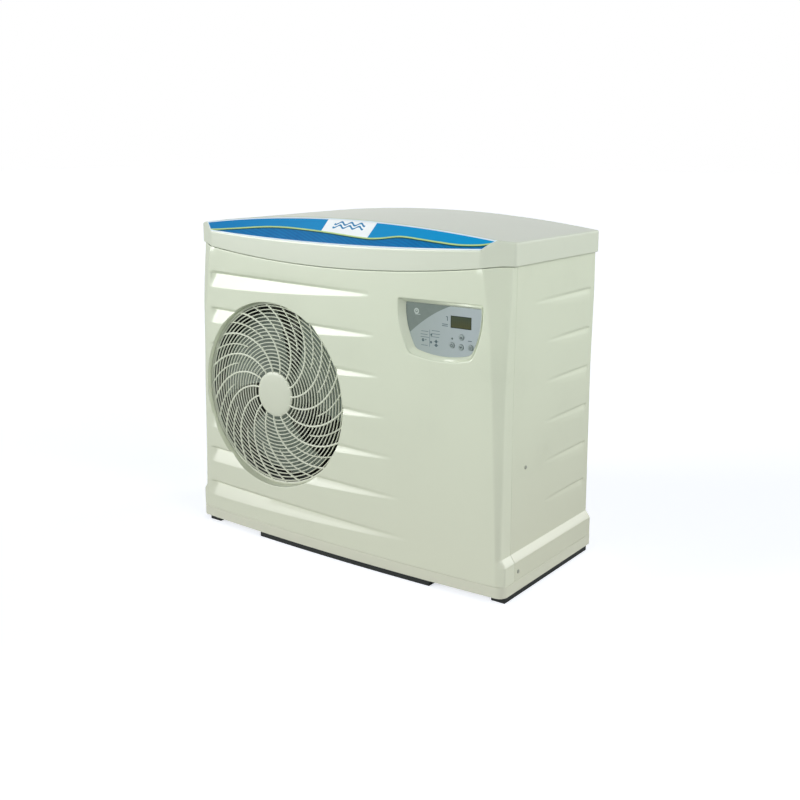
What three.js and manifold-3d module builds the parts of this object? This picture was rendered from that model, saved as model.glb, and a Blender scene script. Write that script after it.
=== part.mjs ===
// Swimming pool heat pump: a free-standing cabinet with a big axial fan behind a round grille,
// a moulded lid, a small control panel at the upper right, and the refrigerant and water circuit inside.
// Millimetres, +Z up. x runs across the front, y runs back from the front corners, z up from the ground.
import * as THREE from "three";
import { mergeVertices } from "three/addons/utils/BufferGeometryUtils.js";
import Module from "manifold-3d";

const wasm = await Module();
wasm.setup();

// ---------------------------------------------------------------- driving dimensions, mm
const WIDTH = 1000; // across the lid and the base tray
const DEPTH = 445; // front corners to the rear face
const BOW = 17; // the middle of the front stands this far out of the line through its corners
const BODY = 778; // underside of the base tray to the lid's lower edge, at the corners
const LID = 54; // lid's height at its corners
const CROWN = 35; // rise of the lid's arched top in the middle

const SEAT = 0.3; // gap between pieces that rest on or against each other
const SEAM_GAP = 0.9; // between the front panel's curved top edge and the lid
const RUN = 0.8; // gap round pieces that turn or slide
const WALL = 4; // moulded and sheet casing panels
const LID_WALL = 5; // lid moulding

const FOOT = 13; // rubber strips under the base
const TRAY = 28; // skirt of the base tray
const TRAY_WALL = 6; // rim of the base tray
const TRAY_FLOOR = 8; // bottom of the base tray
const TRAY_CORNER = 22; // corner radius of the base tray

const SMILE_DROP = 32; // how far the seam under the lid dips in the middle of the front
const FASCIA_DROP = 15; // the same for the lower edge of the slanted fascia
const FASCIA_SKIRT = 38; // upright part of the lid below the fascia, at the corners
const FASCIA_BACK = 18; // how far the fascia leans back at its ends
const FASCIA_BACK_MORE = 12; // and how much more in the middle
const LID_CHAMFER = [70, 34]; // lid's front corners, across and along
const LABEL = 0.6; // thickness of the printed film on the fascia

const WRAP = 52; // the front panel turns this far round onto the sides
const LEDGE = [75, 92]; // heights of the ledge at the foot of the side walls
const WALL_INSET = 12.5; // side wall above the ledge lies this far inside the tray's edge
const TOP_INSET = 8.4; // and this far at its top

const FLUTE_FIRST = 106.7; // lowest front flute's upper edge above the base
const FLUTE_PITCH = 99.2;
const FLUTE_TALL = 40;
const FLUTE_DEEP = 8;
const FLUTE_SLOPE = 0.0175; // they fall slightly towards the right
const SIDE_FLUTE_FIRST = 183;
const SIDE_FLUTE_PITCH = 100.6;
const SIDE_FLUTE_TALL = 30;
const SIDE_FLUTE_DEEP = 5;
const STEP = 1.5; // height of the sharp step at a flute's upper edge

const FAN_X = -213; // fan axis, from the middle of the front
const FAN_H = 391; // fan axis above the underside of the tray
const OPENING_R = 248; // round opening in the front panel
const GRILLE_Y = 9; // front of the grille's rim, behind the front corners
const GRILLE_THICK = 3;
const GRILLE_DOME = 7; // the middle of the grille stands forward of its rim
const GRILLE_HUB_R = 60;
const SPOKES = 15;
const LIP = 8; // ledge behind the opening that the grille rests on
const FAN_CLEAR = 8; // blade tips to the orifice ring
const THROAT_STEP = 8; // the orifice's throat lies this far inside the lip
const FAN_R = OPENING_R - LIP - THROAT_STEP - FAN_CLEAR;
const FAN_HUB_R = 60;
const FAN_Y = 30; // front of the fan's hub
const FAN_HUB_LONG = 45;
const SHAFT_R = 6;
const BLADES = 3;
const MOTOR_R = 62;
const MOTOR_LONG = 90;
const MOTOR_Y = 112; // front face of the motor
const RAIL_APART = 150; // between the two upright rails that carry the motor

const PARTITION_X = 85; // sheet wall between the fan side and the compressor side
const SHEET = 2; // inner sheet metal
const COIL_DEEP = 44;
const COIL_REACH = 16; // behind the coil to the rear face
const SHELL_X = 190; // water heat exchanger
const SHELL_Y = DEPTH - 155;
const SHELL_R = 80;
const SHELL_TALL = 430;
const COMPRESSOR_X = 370;
const COMPRESSOR_Y = 190;
const COMPRESSOR_R = 75;
const COMPRESSOR_TALL = 310;
const GROMMET = 14; // height of the rubber mounts under the compressor
const ACCUMULATOR_R = 36;
const ACCUMULATOR_TALL = 190;

const PORT_R = 25; // 50 mm water connections
const PORT_BORE = 21;
const PORT_REACH = 45; // the connections stand this far out of the rear
const NUT_R = 37;
const PORT_LOW = 105; // heights of the two connections above the base
const PORT_HIGH = 355;
const GLAND_R = 11;
const GLAND_X = 420;
const GLAND_H = 560;

const PANEL_X = 322; // middle of the control panel
const PANEL_TOP = BODY - 89; // its top edge above the base
const PANEL_TALL = 128;
const PANEL_HALF = 114; // half of its width along the top
const PANEL_HALF_LOW = 87; // and along the bottom
const PANEL_SAG = 11; // the bottom edge bulges down
const PANEL_SIDE_BULGE = 5; // and each side bulges out
const PANEL_TAPER = 9; // the recess narrows by this much towards its floor
const PANEL_Y = 1.5; // printed floor of the recess, behind the front corners
const OVERLAY = 1; // printed overlay
const HOUSING_FLOOR = 3;
const HOUSING_DEEP = 26;
const KEY_R = 7;
const KEY_PROUD = 2;
const KEY_TRAVEL = 1;
// Places on the control panel: across from its middle and down from its top edge.
const onPanel = (across, down) => [PANEL_X + across, PANEL_TOP - down];
const KEYS = [onPanel(29, 100), onPanel(55, 79), onPanel(54, 102.5), onPanel(80, 100.5)];
const LAMP = onPanel(29, 84.4);
const SCREEN = [...onPanel(53, 45), 57, 29]; // centre, width and height of the display window

const BOX = [210, 120, 170]; // electrical box: width, depth, height
const BOX_H = BODY - 218; // its underside above the base

// ---------------------------------------------------------------- finishes
const CASING = { color: 0xd0d8c1, roughness: 0.45, metalness: 0 };
const COVER = { color: 0xbbc2ba, roughness: 0.5, metalness: 0 };
const RUBBER = { color: 0x17191a, roughness: 0.85, metalness: 0 };
const BLUE = { color: 0x0a86c4, roughness: 0.35, metalness: 0 };
const GREY = { color: 0x93a5a0, roughness: 0.4, metalness: 0 };
const DARK = { color: 0x3f4a43, roughness: 0.5, metalness: 0 };
const SCREEN_GREEN = { color: 0x4d5847, roughness: 0.2, metalness: 0 };
const BOARD_GREEN = { color: 0x1f5a35, roughness: 0.5, metalness: 0 };
const ZINC = { color: 0xa9adaf, roughness: 0.4, metalness: 0.9 };
const ALUMINIUM = { color: 0xc3c7ca, roughness: 0.4, metalness: 0.9 };
const COPPER = { color: 0xb4693f, roughness: 0.35, metalness: 1 };
const BLACK_METAL = { color: 0x1b1c1e, roughness: 0.5, metalness: 0.3 };
const PIPE_GREY = { color: 0x5a5f63, roughness: 0.5, metalness: 0 };

// ---------------------------------------------------------------- shapes
function signedVolume(position, index) {
  const corner = [0, 1, 2].map(() => new THREE.Vector3());
  let sum = 0;
  for (let i = 0; i < index.length; i += 3) {
    corner.forEach((v, k) => v.fromArray(position, index[i + k] * 3));
    sum += corner[0].dot(corner[1].clone().cross(corner[2]));
  }
  return sum / 6;
}

// A closed geometry as a solid with its faces pointing out.
function asSolid(geometry) {
  const bare = geometry.clone();
  bare.deleteAttribute("normal");
  bare.deleteAttribute("uv");
  const merged = mergeVertices(bare, 1e-3);
  const vertProperties = merged.attributes.position.array;
  const triVerts = new Uint32Array(merged.index.array);
  if (signedVolume(vertProperties, triVerts) < 0) triVerts.reverse();
  return new wasm.Manifold(new wasm.Mesh({ numProp: 3, vertProperties, triVerts }));
}

function node(name, solid, look) {
  const made = solid.getMesh();
  const geometry = new THREE.BufferGeometry();
  geometry.setAttribute("position", new THREE.BufferAttribute(made.vertProperties, 3));
  geometry.setIndex(new THREE.BufferAttribute(made.triVerts, 1));
  geometry.computeVertexNormals();
  const mesh = new THREE.Mesh(geometry, new THREE.MeshStandardMaterial(look));
  mesh.name = name;
  return mesh;
}

const join = (...solids) => solids.reduce((a, b) => a.add(b));
const cut = (from, ...tools) => tools.reduce((a, b) => a.subtract(b), from);

function block(x0, x1, y0, y1, z0, z1) {
  const geometry = new THREE.BoxGeometry(x1 - x0, y1 - y0, z1 - z0);
  geometry.translate((x0 + x1) / 2, (y0 + y1) / 2, (z0 + z1) / 2);
  return asSolid(geometry);
}

// A cylinder along an axis, at its place (a, b) on the other two axes; end is its radius at the far end.
function rod(axis, radius, from, to, a, b, sides = 24, end = radius) {
  const geometry = new THREE.CylinderGeometry(end, radius, to - from, sides);
  geometry.translate(0, (from + to) / 2, 0);
  if (axis === "x") geometry.rotateZ(-Math.PI / 2).translate(0, a, b);
  if (axis === "y") geometry.translate(a, 0, b);
  if (axis === "z") geometry.rotateX(Math.PI / 2).translate(a, b, 0);
  return asSolid(geometry);
}

const ring = (axis, outer, inner, from, to, a, b, sides) =>
  rod(axis, outer, from, to, a, b, sides).subtract(rod(axis, inner, from - 1, to + 1, a, b, sides));

// A profile of [radius, along] points turned round the y axis through (x, z).
function turned(profile, x, z, sides = 40) {
  const points = profile.map(([r, y]) => new THREE.Vector2(r, y));
  return asSolid(new THREE.LatheGeometry(points, sides).translate(x, 0, z));
}

// The same round the z axis through (x, y).
function turnedUp(profile, x, y, sides = 22) {
  const points = profile.map(([r, z]) => new THREE.Vector2(r, z));
  return asSolid(new THREE.LatheGeometry(points, sides).rotateX(Math.PI / 2).translate(x, y, 0));
}

const PLANES = { xy: [[1, 0, 0], [0, 1, 0], [0, 0, 1]], xz: [[1, 0, 0], [0, 0, 1], [0, -1, 0]] };

// An outline drawn in a plane and pulled from one place to another along the third axis.
function prism(plane, outline, from, to, holes = []) {
  const shape = new THREE.Shape(outline.map((p) => new THREE.Vector2(...p)));
  shape.holes = holes.map((h) => new THREE.Path(h.map((p) => new THREE.Vector2(...p))));
  const geometry = new THREE.ExtrudeGeometry(shape, { depth: to - from, bevelEnabled: false });
  const axes = PLANES[plane].map((v) => new THREE.Vector3(...v));
  geometry.applyMatrix4(new THREE.Matrix4().makeBasis(...axes));
  if (plane === "xy") geometry.translate(0, 0, from);
  if (plane === "xz") geometry.translate(0, to, 0);
  return asSolid(geometry);
}

// Two outlines of [x, z] points with as many points each, at two depths, joined by straight sides.
function loft(front, frontY, back, backY) {
  const n = front.length;
  const flat = front.map((p) => new THREE.Vector2(...p));
  if (THREE.ShapeUtils.isClockWise(flat)) return loft([...front].reverse(), frontY, [...back].reverse(), backY);
  const position = [...front.flatMap(([x, z]) => [x, frontY, z]), ...back.flatMap(([x, z]) => [x, backY, z])];
  const cap = THREE.ShapeUtils.triangulateShape(flat, []);
  const index = cap.flatMap(([a, b, c]) => [a, b, c, n + c, n + b, n + a]);
  for (let i = 0; i < n; i++) {
    const j = (i + 1) % n;
    index.push(j, i, n + i, j, n + i, n + j);
  }
  const geometry = new THREE.BufferGeometry();
  geometry.setAttribute("position", new THREE.Float32BufferAttribute(position, 3));
  geometry.setIndex(index);
  return asSolid(geometry);
}

// A wall between two grids of points, outer(i, j) and inner(i, j), closed round its edge.
function sheet(columns, rows, outer, inner) {
  const position = [];
  const index = [];
  for (const face of [outer, inner])
    for (let j = 0; j < rows; j++)
      for (let i = 0; i < columns; i++) position.push(...face(i, j));
  const at = (k, i, j) => (k * rows + j) * columns + i;
  const quad = (a, b, c, d) => index.push(a, b, c, a, c, d);
  const [right, top] = [columns - 1, rows - 1];
  for (let j = 0; j < top; j++) {
    for (let i = 0; i < right; i++) {
      quad(at(0, i, j), at(0, i + 1, j), at(0, i + 1, j + 1), at(0, i, j + 1));
      quad(at(1, i, j), at(1, i, j + 1), at(1, i + 1, j + 1), at(1, i + 1, j));
    }
    quad(at(0, 0, j), at(0, 0, j + 1), at(1, 0, j + 1), at(1, 0, j));
    quad(at(0, right, j), at(1, right, j), at(1, right, j + 1), at(0, right, j + 1));
  }
  for (let i = 0; i < right; i++) {
    quad(at(0, i, 0), at(1, i, 0), at(1, i + 1, 0), at(0, i + 1, 0));
    quad(at(0, i, top), at(0, i + 1, top), at(1, i + 1, top), at(1, i, top));
  }
  const geometry = new THREE.BufferGeometry();
  geometry.setAttribute("position", new THREE.Float32BufferAttribute(position, 3));
  geometry.setIndex(index);
  return asSolid(geometry);
}

// A round pipe or bar along a smooth line through the points.
function pipe(radius, points, steps = 16) {
  const line = new THREE.CatmullRomCurve3(points.map((p) => new THREE.Vector3(...p)), false, "centripetal");
  const section = new THREE.Shape();
  section.absarc(0, 0, radius, 0, Math.PI * 2);
  const geometry = new THREE.ExtrudeGeometry(section, { steps, extrudePath: line, curveSegments: 4 });
  return asSolid(geometry);
}

const circle = (x, z, r, sides = 32) =>
  Array.from({ length: sides }, (_, i) => {
    const a = (i / sides) * Math.PI * 2;
    return [x + r * Math.cos(a), z + r * Math.sin(a)];
  });

const spread = (count, from, to) => Array.from({ length: count }, (_, i) => from + ((to - from) * i) / (count - 1));
const mirrorX = (points) => points.map(([x, y]) => [-x, y]).reverse();

// Straight-line reading of a table of [height, value] points.
function read(table, h) {
  const after = table.findIndex(([level]) => level >= h);
  if (after <= 0) return table[after < 0 ? table.length - 1 : 0][1];
  const [[h0, v0], [h1, v1]] = [table[after - 1], table[after]];
  return v0 + ((v1 - v0) * (h - h0)) / (h1 - h0);
}

// ---------------------------------------------------------------- the cabinet's surfaces
const HALF = WIDTH / 2;
const Z_TRAY = FOOT + TRAY;
const Z_FLOOR = FOOT + TRAY_FLOOR;
const Z_SEAM = FOOT + BODY;
const Z_FAN = FOOT + FAN_H;
const REAR_PLATE = [DEPTH - 5, DEPTH - 2]; // the rear panels stand between these depths

const frontY = (x) => -BOW * (1 - (x / HALF) ** 2);
const smile = (x) => Math.max(0, 1 - (x / (HALF - 30)) ** 2);
const seamZ = (x) => Z_SEAM - SMILE_DROP * smile(x);

const sideInset = (h) =>
  read([[LEDGE[0], 0], [LEDGE[1], WALL_INSET], [BODY * 0.62, WALL_INSET], [BODY * 0.87, TOP_INSET]], h);
const chamferX = (h) => read([[LEDGE[1], 21], [BODY * 0.4, 30], [BODY * 0.61, 36], [BODY * 0.79, 44], [BODY, 64]], h);
const chamferY = (h) => read([[LEDGE[1], 9], [BODY * 0.5, 12], [BODY * 0.79, 20], [BODY, 34]], h);

// A flute is a sharp step in at its upper edge and a facet that slopes back out below it.
// along runs from 0 at its blunt end to 1 at its tip.
function flute(along, tall, deep) {
  if (along <= 0 || along >= 1) return { tall: 2 * STEP, deep: 0 };
  const taper = 1 - along ** 1.6;
  return { tall: 2 * STEP + (tall - 2 * STEP) * taper, deep: deep * Math.min(1, along / 0.03) * taper };
}

const fluteCount = (first, pitch, top) => 1 + Math.floor((top - first) / pitch);
const FRONT_FLUTES = fluteCount(FLUTE_FIRST, FLUTE_PITCH, BODY - SMILE_DROP - FLUTE_TALL);
const SIDE_FLUTES = fluteCount(SIDE_FLUTE_FIRST, SIDE_FLUTE_PITCH, BODY - SIDE_FLUTE_PITCH / 2);

function frontFlute(k, x) {
  const start = -HALF + 38 + 4 * k;
  const tip = HALF - 260 - 28.5 * k + 1.45 * k * k;
  const along = (x - start) / (tip - start);
  const drop = FLUTE_SLOPE * (Math.min(Math.max(x, start), tip) - start);
  return { ...flute(along, FLUTE_TALL, FLUTE_DEEP), top: FLUTE_FIRST + FLUTE_PITCH * k - drop };
}

function sideFlute(k, y) {
  const start = DEPTH - 20;
  const tip = k === SIDE_FLUTES - 1 ? 130 : 205;
  const along = (start - y) / (start - tip);
  return { ...flute(along, SIDE_FLUTE_TALL, SIDE_FLUTE_DEEP), top: SIDE_FLUTE_FIRST + SIDE_FLUTE_PITCH * k };
}

// Rows of a fluted wall: row 0 is its foot, three rows follow each flute, and the last is its top.
function flutedRow(row, count, fluteAt, foot, top) {
  if (row === 0) return { h: foot, deep: 0 };
  if (row > 3 * count) return { h: top, deep: 0 };
  const f = fluteAt(Math.floor((row - 1) / 3));
  const part = (row - 1) % 3;
  if (part === 0) return { h: f.top - f.tall, deep: 0 };
  return part === 1 ? { h: f.top - STEP, deep: f.deep } : { h: f.top, deep: 0 };
}

// ---------------------------------------------------------------- base
function trayOutline(inset) {
  const corner = spread(4, 0, Math.PI / 2).map((a) => [
    HALF - TRAY_CORNER + (TRAY_CORNER - inset) * Math.cos(a),
    TRAY_CORNER - (TRAY_CORNER - inset) * Math.sin(a) + frontY(HALF - TRAY_CORNER),
  ]);
  const bow = spread(13, HALF - TRAY_CORNER - 12, -(HALF - TRAY_CORNER - 12)).map((x) => [x, frontY(x) + inset]);
  const rear = DEPTH - inset;
  return [[-HALF + inset, rear], [HALF - inset, rear], ...corner, ...bow, ...mirrorX(corner)].reverse();
}

function baseTray() {
  const outside = prism("xy", trayOutline(0), FOOT, Z_TRAY);
  const inside = prism("xy", trayOutline(TRAY_WALL), Z_FLOOR, Z_TRAY + 1);
  const drain = rod("y", 7, DEPTH - 20, DEPTH + 5, -120, Z_FLOOR + 9, 16);
  return node("base_tray", cut(outside, inside, drain), CASING);
}

function footStrips() {
  const top = FOOT - SEAT;
  const left = block(-HALF + 24, -HALF + 64, 7, DEPTH - 5, 0, top);
  const right = block(HALF - 40, HALF - 2, 12, DEPTH - 16, 0, top);
  const edge = spread(9, -265, 297);
  const outline = [...edge.map((x) => [x, frontY(x) + 2]), [297, 30], [-265, 30]];
  const middle = prism("xy", outline, 0, top);
  return [
    node("foot_strip_left", left, RUBBER),
    node("foot_strip_right", right, RUBBER),
    node("foot_strip_front", middle, RUBBER),
  ];
}

// Drain spout plugged into the tray's rear rim.
function drainSpout() {
  const z = Z_FLOOR + 9;
  const outside = ring("y", 11, 4.5, DEPTH + SEAT, DEPTH + 4, -120, z, 12);
  const stem = ring("y", 7 - SEAT, 4.5, DEPTH - 12, DEPTH + 28, -120, z, 12);
  return node("drain_spout", join(outside, stem), PIPE_GREY);
}

// ---------------------------------------------------------------- front panel
const FRONT_T = [-1, -0.98, -0.95, -0.8, -0.6, -0.4, -0.2, 0, 0.2, 0.35, 0.5, 0.75, 1];

function frontPoint(column, row, inset) {
  const last = FRONT_T.length + 3;
  const onSide = column < 2 || column > last - 2;
  const side = column < 2 ? -1 : 1;
  const foot = TRAY + SEAT;
  const rows = (x) => flutedRow(row, FRONT_FLUTES, (k) => frontFlute(k, x), foot, seamZ(x) - FOOT - SEAM_GAP);
  if (onSide) {
    const plain = rows(side * HALF);
    const h = row === 1 ? LEDGE[0] : row === 2 ? LEDGE[1] : row === 3 ? LEDGE[1] + 12 : plain.h;
    const x = HALF - sideInset(h) - inset;
    const corner = column === 1 || column === last - 1;
    return [side * x, corner ? chamferY(h) + inset * 0.3 : WRAP, FOOT + h];
  }
  const t = FRONT_T[column - 2];
  const guess = t * (HALF - chamferX(rows(t * HALF).h));
  const { h, deep } = rows(guess);
  const x = t * (HALF - chamferX(h) - inset * 0.3);
  return [x, frontY(x) + deep + inset, FOOT + h];
}

// Outline of the control panel's recess at its rim (grow 0) or further out or in; its left wall leans more.
function panelOutline(grow) {
  const top = FOOT + PANEL_TOP + grow;
  const side = spread(6, 0, 1).map((t) => [
    PANEL_HALF + grow - (PANEL_HALF - PANEL_HALF_LOW) * t ** 1.5 + PANEL_SIDE_BULGE * Math.sin(Math.PI * t),
    top - (PANEL_TALL + 2 * grow) * t,
  ]);
  const low = PANEL_HALF_LOW + grow;
  const sag = spread(7, 1, -1).slice(1, -1).map((t) => [
    low * t, top - PANEL_TALL - 2 * grow - PANEL_SAG * (1 - t * t),
  ]);
  return [...side, ...sag, ...mirrorX(side)].map(([x, z]) => [x + PANEL_X - Math.min(0, grow) / 3, z]);
}

const GRILLE_BACK = GRILLE_Y + GRILLE_THICK;

function frontPanel() {
  const columns = FRONT_T.length + 4;
  const rows = 3 * FRONT_FLUTES + 2;
  const skin = sheet(columns, rows, (i, j) => frontPoint(i, j, 0), (i, j) => frontPoint(i, j, WALL));
  const space = sheet(columns, rows, (i, j) => frontPoint(i, j, 0), (i, j) => {
    const [x, , z] = frontPoint(i, j, WALL);
    return [x * 0.98, 60, z];
  });
  const tunnel = rod("y", OPENING_R + WALL, -BOW, GRILLE_BACK + SEAT + WALL, FAN_X, Z_FAN, 48);
  const hole = rod("y", OPENING_R, -BOW - 9, GRILLE_BACK + SEAT, FAN_X, Z_FAN, 48);
  const lip = rod("y", OPENING_R - LIP, 0, 90, FAN_X, Z_FAN, 48);
  const recessWall = loft(panelOutline(WALL + 2), -BOW, panelOutline(WALL - PANEL_TAPER), PANEL_Y + OVERLAY);
  const recess = loft(panelOutline(0), frontY(PANEL_X), panelOutline(-PANEL_TAPER), PANEL_Y + OVERLAY + SEAT);
  const mouth = prism("xz", panelOutline(0), -BOW - 9, frontY(PANEL_X) + 0.01);
  const walls = join(tunnel, recessWall).intersect(space);
  return node("front_panel", cut(join(skin, walls), hole, lip, recess, mouth), CASING);
}

// ---------------------------------------------------------------- side panels
const SIDE_Y = [WRAP + SEAT, 130, 205, 270, 350, DEPTH - 30, DEPTH - 20, DEPTH - 2, DEPTH - 2];
const RETURN = 22; // the side panels turn in at the rear

function sidePoint(side, column, row, inset) {
  const y = SIDE_Y[column];
  const foot = TRAY + SEAT;
  const plain = flutedRow(row - 2, SIDE_FLUTES, (k) => sideFlute(k, y), LEDGE[1] + 12, BODY - SEAT);
  const { h, deep } = row === 0 ? { h: foot, deep: 0 } : row <= 2 ? { h: LEDGE[row - 1], deep: 0 } : plain;
  const last = SIDE_Y.length - 1;
  const atReturn = column === last;
  const x = HALF - sideInset(h) - deep - (atReturn ? RETURN : inset);
  const back = column >= last - 1 ? Math.min(inset, WALL) : 0;
  return [side * x, y - back, FOOT + h];
}

function sidePanel(name, side) {
  const rows = 3 * SIDE_FLUTES + 4;
  const outer = (i, j) => sidePoint(side, i, j, 0);
  const inner = (i, j) => sidePoint(side, i, j, WALL);
  return node(name, sheet(SIDE_Y.length, rows, outer, inner), CASING);
}

// Pan-head screws that hold the side panel: one half way up, one in the foot.
function sideScrew(name, side, y, h) {
  const surface = HALF - sideInset(h);
  const [from, to] = side > 0 ? [surface + SEAT, surface + SEAT + 2] : [-surface - SEAT - 2, -surface - SEAT];
  return node(name, rod("x", 5, from, to, y, FOOT + h, 16), ZINC);
}

// ---------------------------------------------------------------- lid
const vaultZ = (x) => Z_SEAM + LID + CROWN * (1 - (x / HALF) ** 2);

// A point of the slanted fascia: t is 0 along its lower edge and 1 along its upper edge.
function fasciaPoint(x, t, inset = 0) {
  const low = Z_SEAM + FASCIA_SKIRT - FASCIA_DROP * smile(x);
  const back = FASCIA_BACK + FASCIA_BACK_MORE * smile(x);
  return [x, frontY(x) + back * t + inset, low + (vaultZ(x) - low) * t];
}

const FASCIA_ROWS = [0.05, 0.35, 0.65, 0.95];

function lidShape(inset, bottom) {
  const [a, b] = LID_CHAMFER;
  const bow = spread(17, HALF - a - inset * 0.4, -(HALF - a - inset * 0.4)).map((x) => [x, frontY(x) + inset]);
  const side = HALF - inset;
  const rear = DEPTH - inset;
  const outline = [[-side, rear], [side, rear], [side, b + inset * 0.4], ...bow, [-side, b + inset * 0.4]].reverse();
  const body = prism("xy", outline, bottom, Z_SEAM + LID + CROWN + 1);
  const arch = spread(21, -HALF, HALF).map((x) => [x, vaultZ(x) - inset]);
  const [left, right, low] = [-HALF - 1, HALF + 1, bottom - 1];
  const vault = prism("xz", [[left, low], [right, low], [right, arch[20][1]], ...arch.reverse(), [left, arch[0][1]]],
    -BOW - 1, DEPTH + 1);
  const xs = spread(25, -HALF, HALF);
  const ends = [-0.4, ...FASCIA_ROWS, 1.5];
  const front = sheet(25, ends.length, (i, j) => [xs[i], -90, fasciaPoint(xs[i], ends[j])[2]],
    (i, j) => fasciaPoint(xs[i], ends[j], inset * 1.3));
  return cut(body.intersect(vault), front);
}

function lid() {
  const seam = spread(21, -HALF, HALF).map((x) => [x, seamZ(x)]);
  const low = Z_SEAM - SMILE_DROP - 5;
  const below = prism("xz", [[-HALF - 2, low], [HALF + 2, low], [HALF + 2, Z_SEAM], ...seam.reverse(), [-HALF - 2, Z_SEAM]],
    -BOW - 9, DEPTH + 9);
  const behind = block(-HALF - 9, HALF + 9, LID_CHAMFER[1] - 2, DEPTH + 9, low, Z_SEAM);
  const inside = HALF - TOP_INSET - WALL - 2;
  const rails = [-1, 1].map((s) => {
    const [x0, x1] = s > 0 ? [inside, HALF - 3] : [-HALF + 3, -inside];
    return block(x0, x1, WRAP + 10, DEPTH - 12, Z_SEAM, Z_SEAM + 8);
  });
  const hollow = lidShape(LID_WALL, low - 9);
  const shell = cut(lidShape(0, low), hollow, below, behind);
  return node("lid", join(shell, ...rails), COVER);
}

function lidLabel() {
  const xEnd = (t) => HALF - LID_CHAMFER[0] - 6 + 34 * t;
  const along = spread(25, -1, 1);
  const at = (i, j, off) => fasciaPoint(along[i] * xEnd(FASCIA_ROWS[j]), FASCIA_ROWS[j], off);
  const made = sheet(25, FASCIA_ROWS.length, (i, j) => at(i, j, -2 * SEAT - LABEL), (i, j) => at(i, j, -2 * SEAT));
  return node("lid_label", made, BLUE);
}

// ---------------------------------------------------------------- grille and fan
function bowl(solid, dome) {
  const made = solid.getMesh();
  const p = made.vertProperties;
  for (let i = 0; i < p.length; i += 3) {
    const r = Math.hypot(p[i] - FAN_X, p[i + 2] - Z_FAN);
    p[i + 1] -= dome * (1 - (r / OPENING_R) ** 2);
  }
  const geometry = new THREE.BufferGeometry();
  geometry.setAttribute("position", new THREE.BufferAttribute(new Float32Array(p), 3));
  geometry.setIndex(new THREE.BufferAttribute(made.triVerts, 1));
  return asSolid(geometry);
}

function fanGrille() {
  const radii = [GRILLE_HUB_R, 121, 182, OPENING_R - RUN - 3];
  const bar = 2.4;
  const holes = [];
  for (let k = 0; k < SPOKES; k++)
    for (let b = 0; b + 1 < radii.length; b++) {
      const [r0, r1] = [radii[b] + bar / 2, radii[b + 1] - bar / 2];
      const swirl = (r) => -0.9 * ((r - GRILLE_HUB_R) / (OPENING_R - GRILLE_HUB_R)) ** 1.2;
      const corner = (r, s) => {
        const a = ((k + s) / SPOKES) * Math.PI * 2 - swirl(r) + ((0.5 - s) * 2 * bar) / 2 / r;
        return [FAN_X + r * Math.cos(a), Z_FAN + r * Math.sin(a)];
      };
      holes.push([corner(r0, 0), corner(r1, 0), corner(r1, 0.5), corner(r1, 1), corner(r0, 1), corner(r0, 0.5)]);
    }
  const outline = circle(FAN_X, Z_FAN, OPENING_R - RUN, 48);
  const flat = prism("xz", outline, GRILLE_Y, GRILLE_BACK, holes);
  return node("fan_grille", bowl(flat, GRILLE_DOME), CASING);
}

// Bell-mouthed ring that the blade tips run in, held behind the front panel's lip.
function fanOrifice() {
  const y0 = GRILLE_BACK + WALL + 2 * SEAT;
  const throat = FAN_R + FAN_CLEAR;
  const outer = OPENING_R + 6;
  const profile = [
    [throat + 4, y0], [outer, y0], [outer, y0 + 3], [throat + 6, y0 + 3], [throat + 3, y0 + 8], [throat + 3, y0 + 52],
    [throat, y0 + 52], [throat, y0 + 6], [throat + 4, y0],
  ];
  return node("fan_orifice", turned(profile, FAN_X, Z_FAN, 36), DARK);
}

function blade(turn) {
  const [r0, r1] = [FAN_HUB_R - 3, FAN_R];
  const thick = 3;
  const point = (i, j, off) => {
    const r = r0 + ((r1 - r0) * i) / 4;
    const sweep = 0.28 * ((r - r0) / (r1 - r0));
    const wide = THREE.MathUtils.lerp(1.25, 1.75, i / 4);
    const s = j / 5 - 0.5;
    const a = turn + s * wide + sweep;
    const y = FAN_Y + FAN_HUB_LONG / 2 - s * THREE.MathUtils.lerp(34, 30, i / 4) + off;
    return [FAN_X + r * Math.cos(a), y, Z_FAN + r * Math.sin(a)];
  };
  return sheet(5, 6, (i, j) => point(i, j, -thick / 2), (i, j) => point(i, j, thick / 2));
}

function fanPropeller() {
  const [y0, y1] = [FAN_Y, FAN_Y + FAN_HUB_LONG];
  const bore = SHAFT_R + SEAT;
  const profile = [[bore, y0], [40, y0], [FAN_HUB_R, y0 + 10], [FAN_HUB_R, y1], [bore, y1], [bore, y0]];
  const hub = turned(profile, FAN_X, Z_FAN, 24);
  const blades = spread(BLADES + 1, 0, Math.PI * 2).slice(1).map((a) => blade(a + 0.2));
  return node("fan_propeller", join(hub, ...blades), DARK);
}

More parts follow.
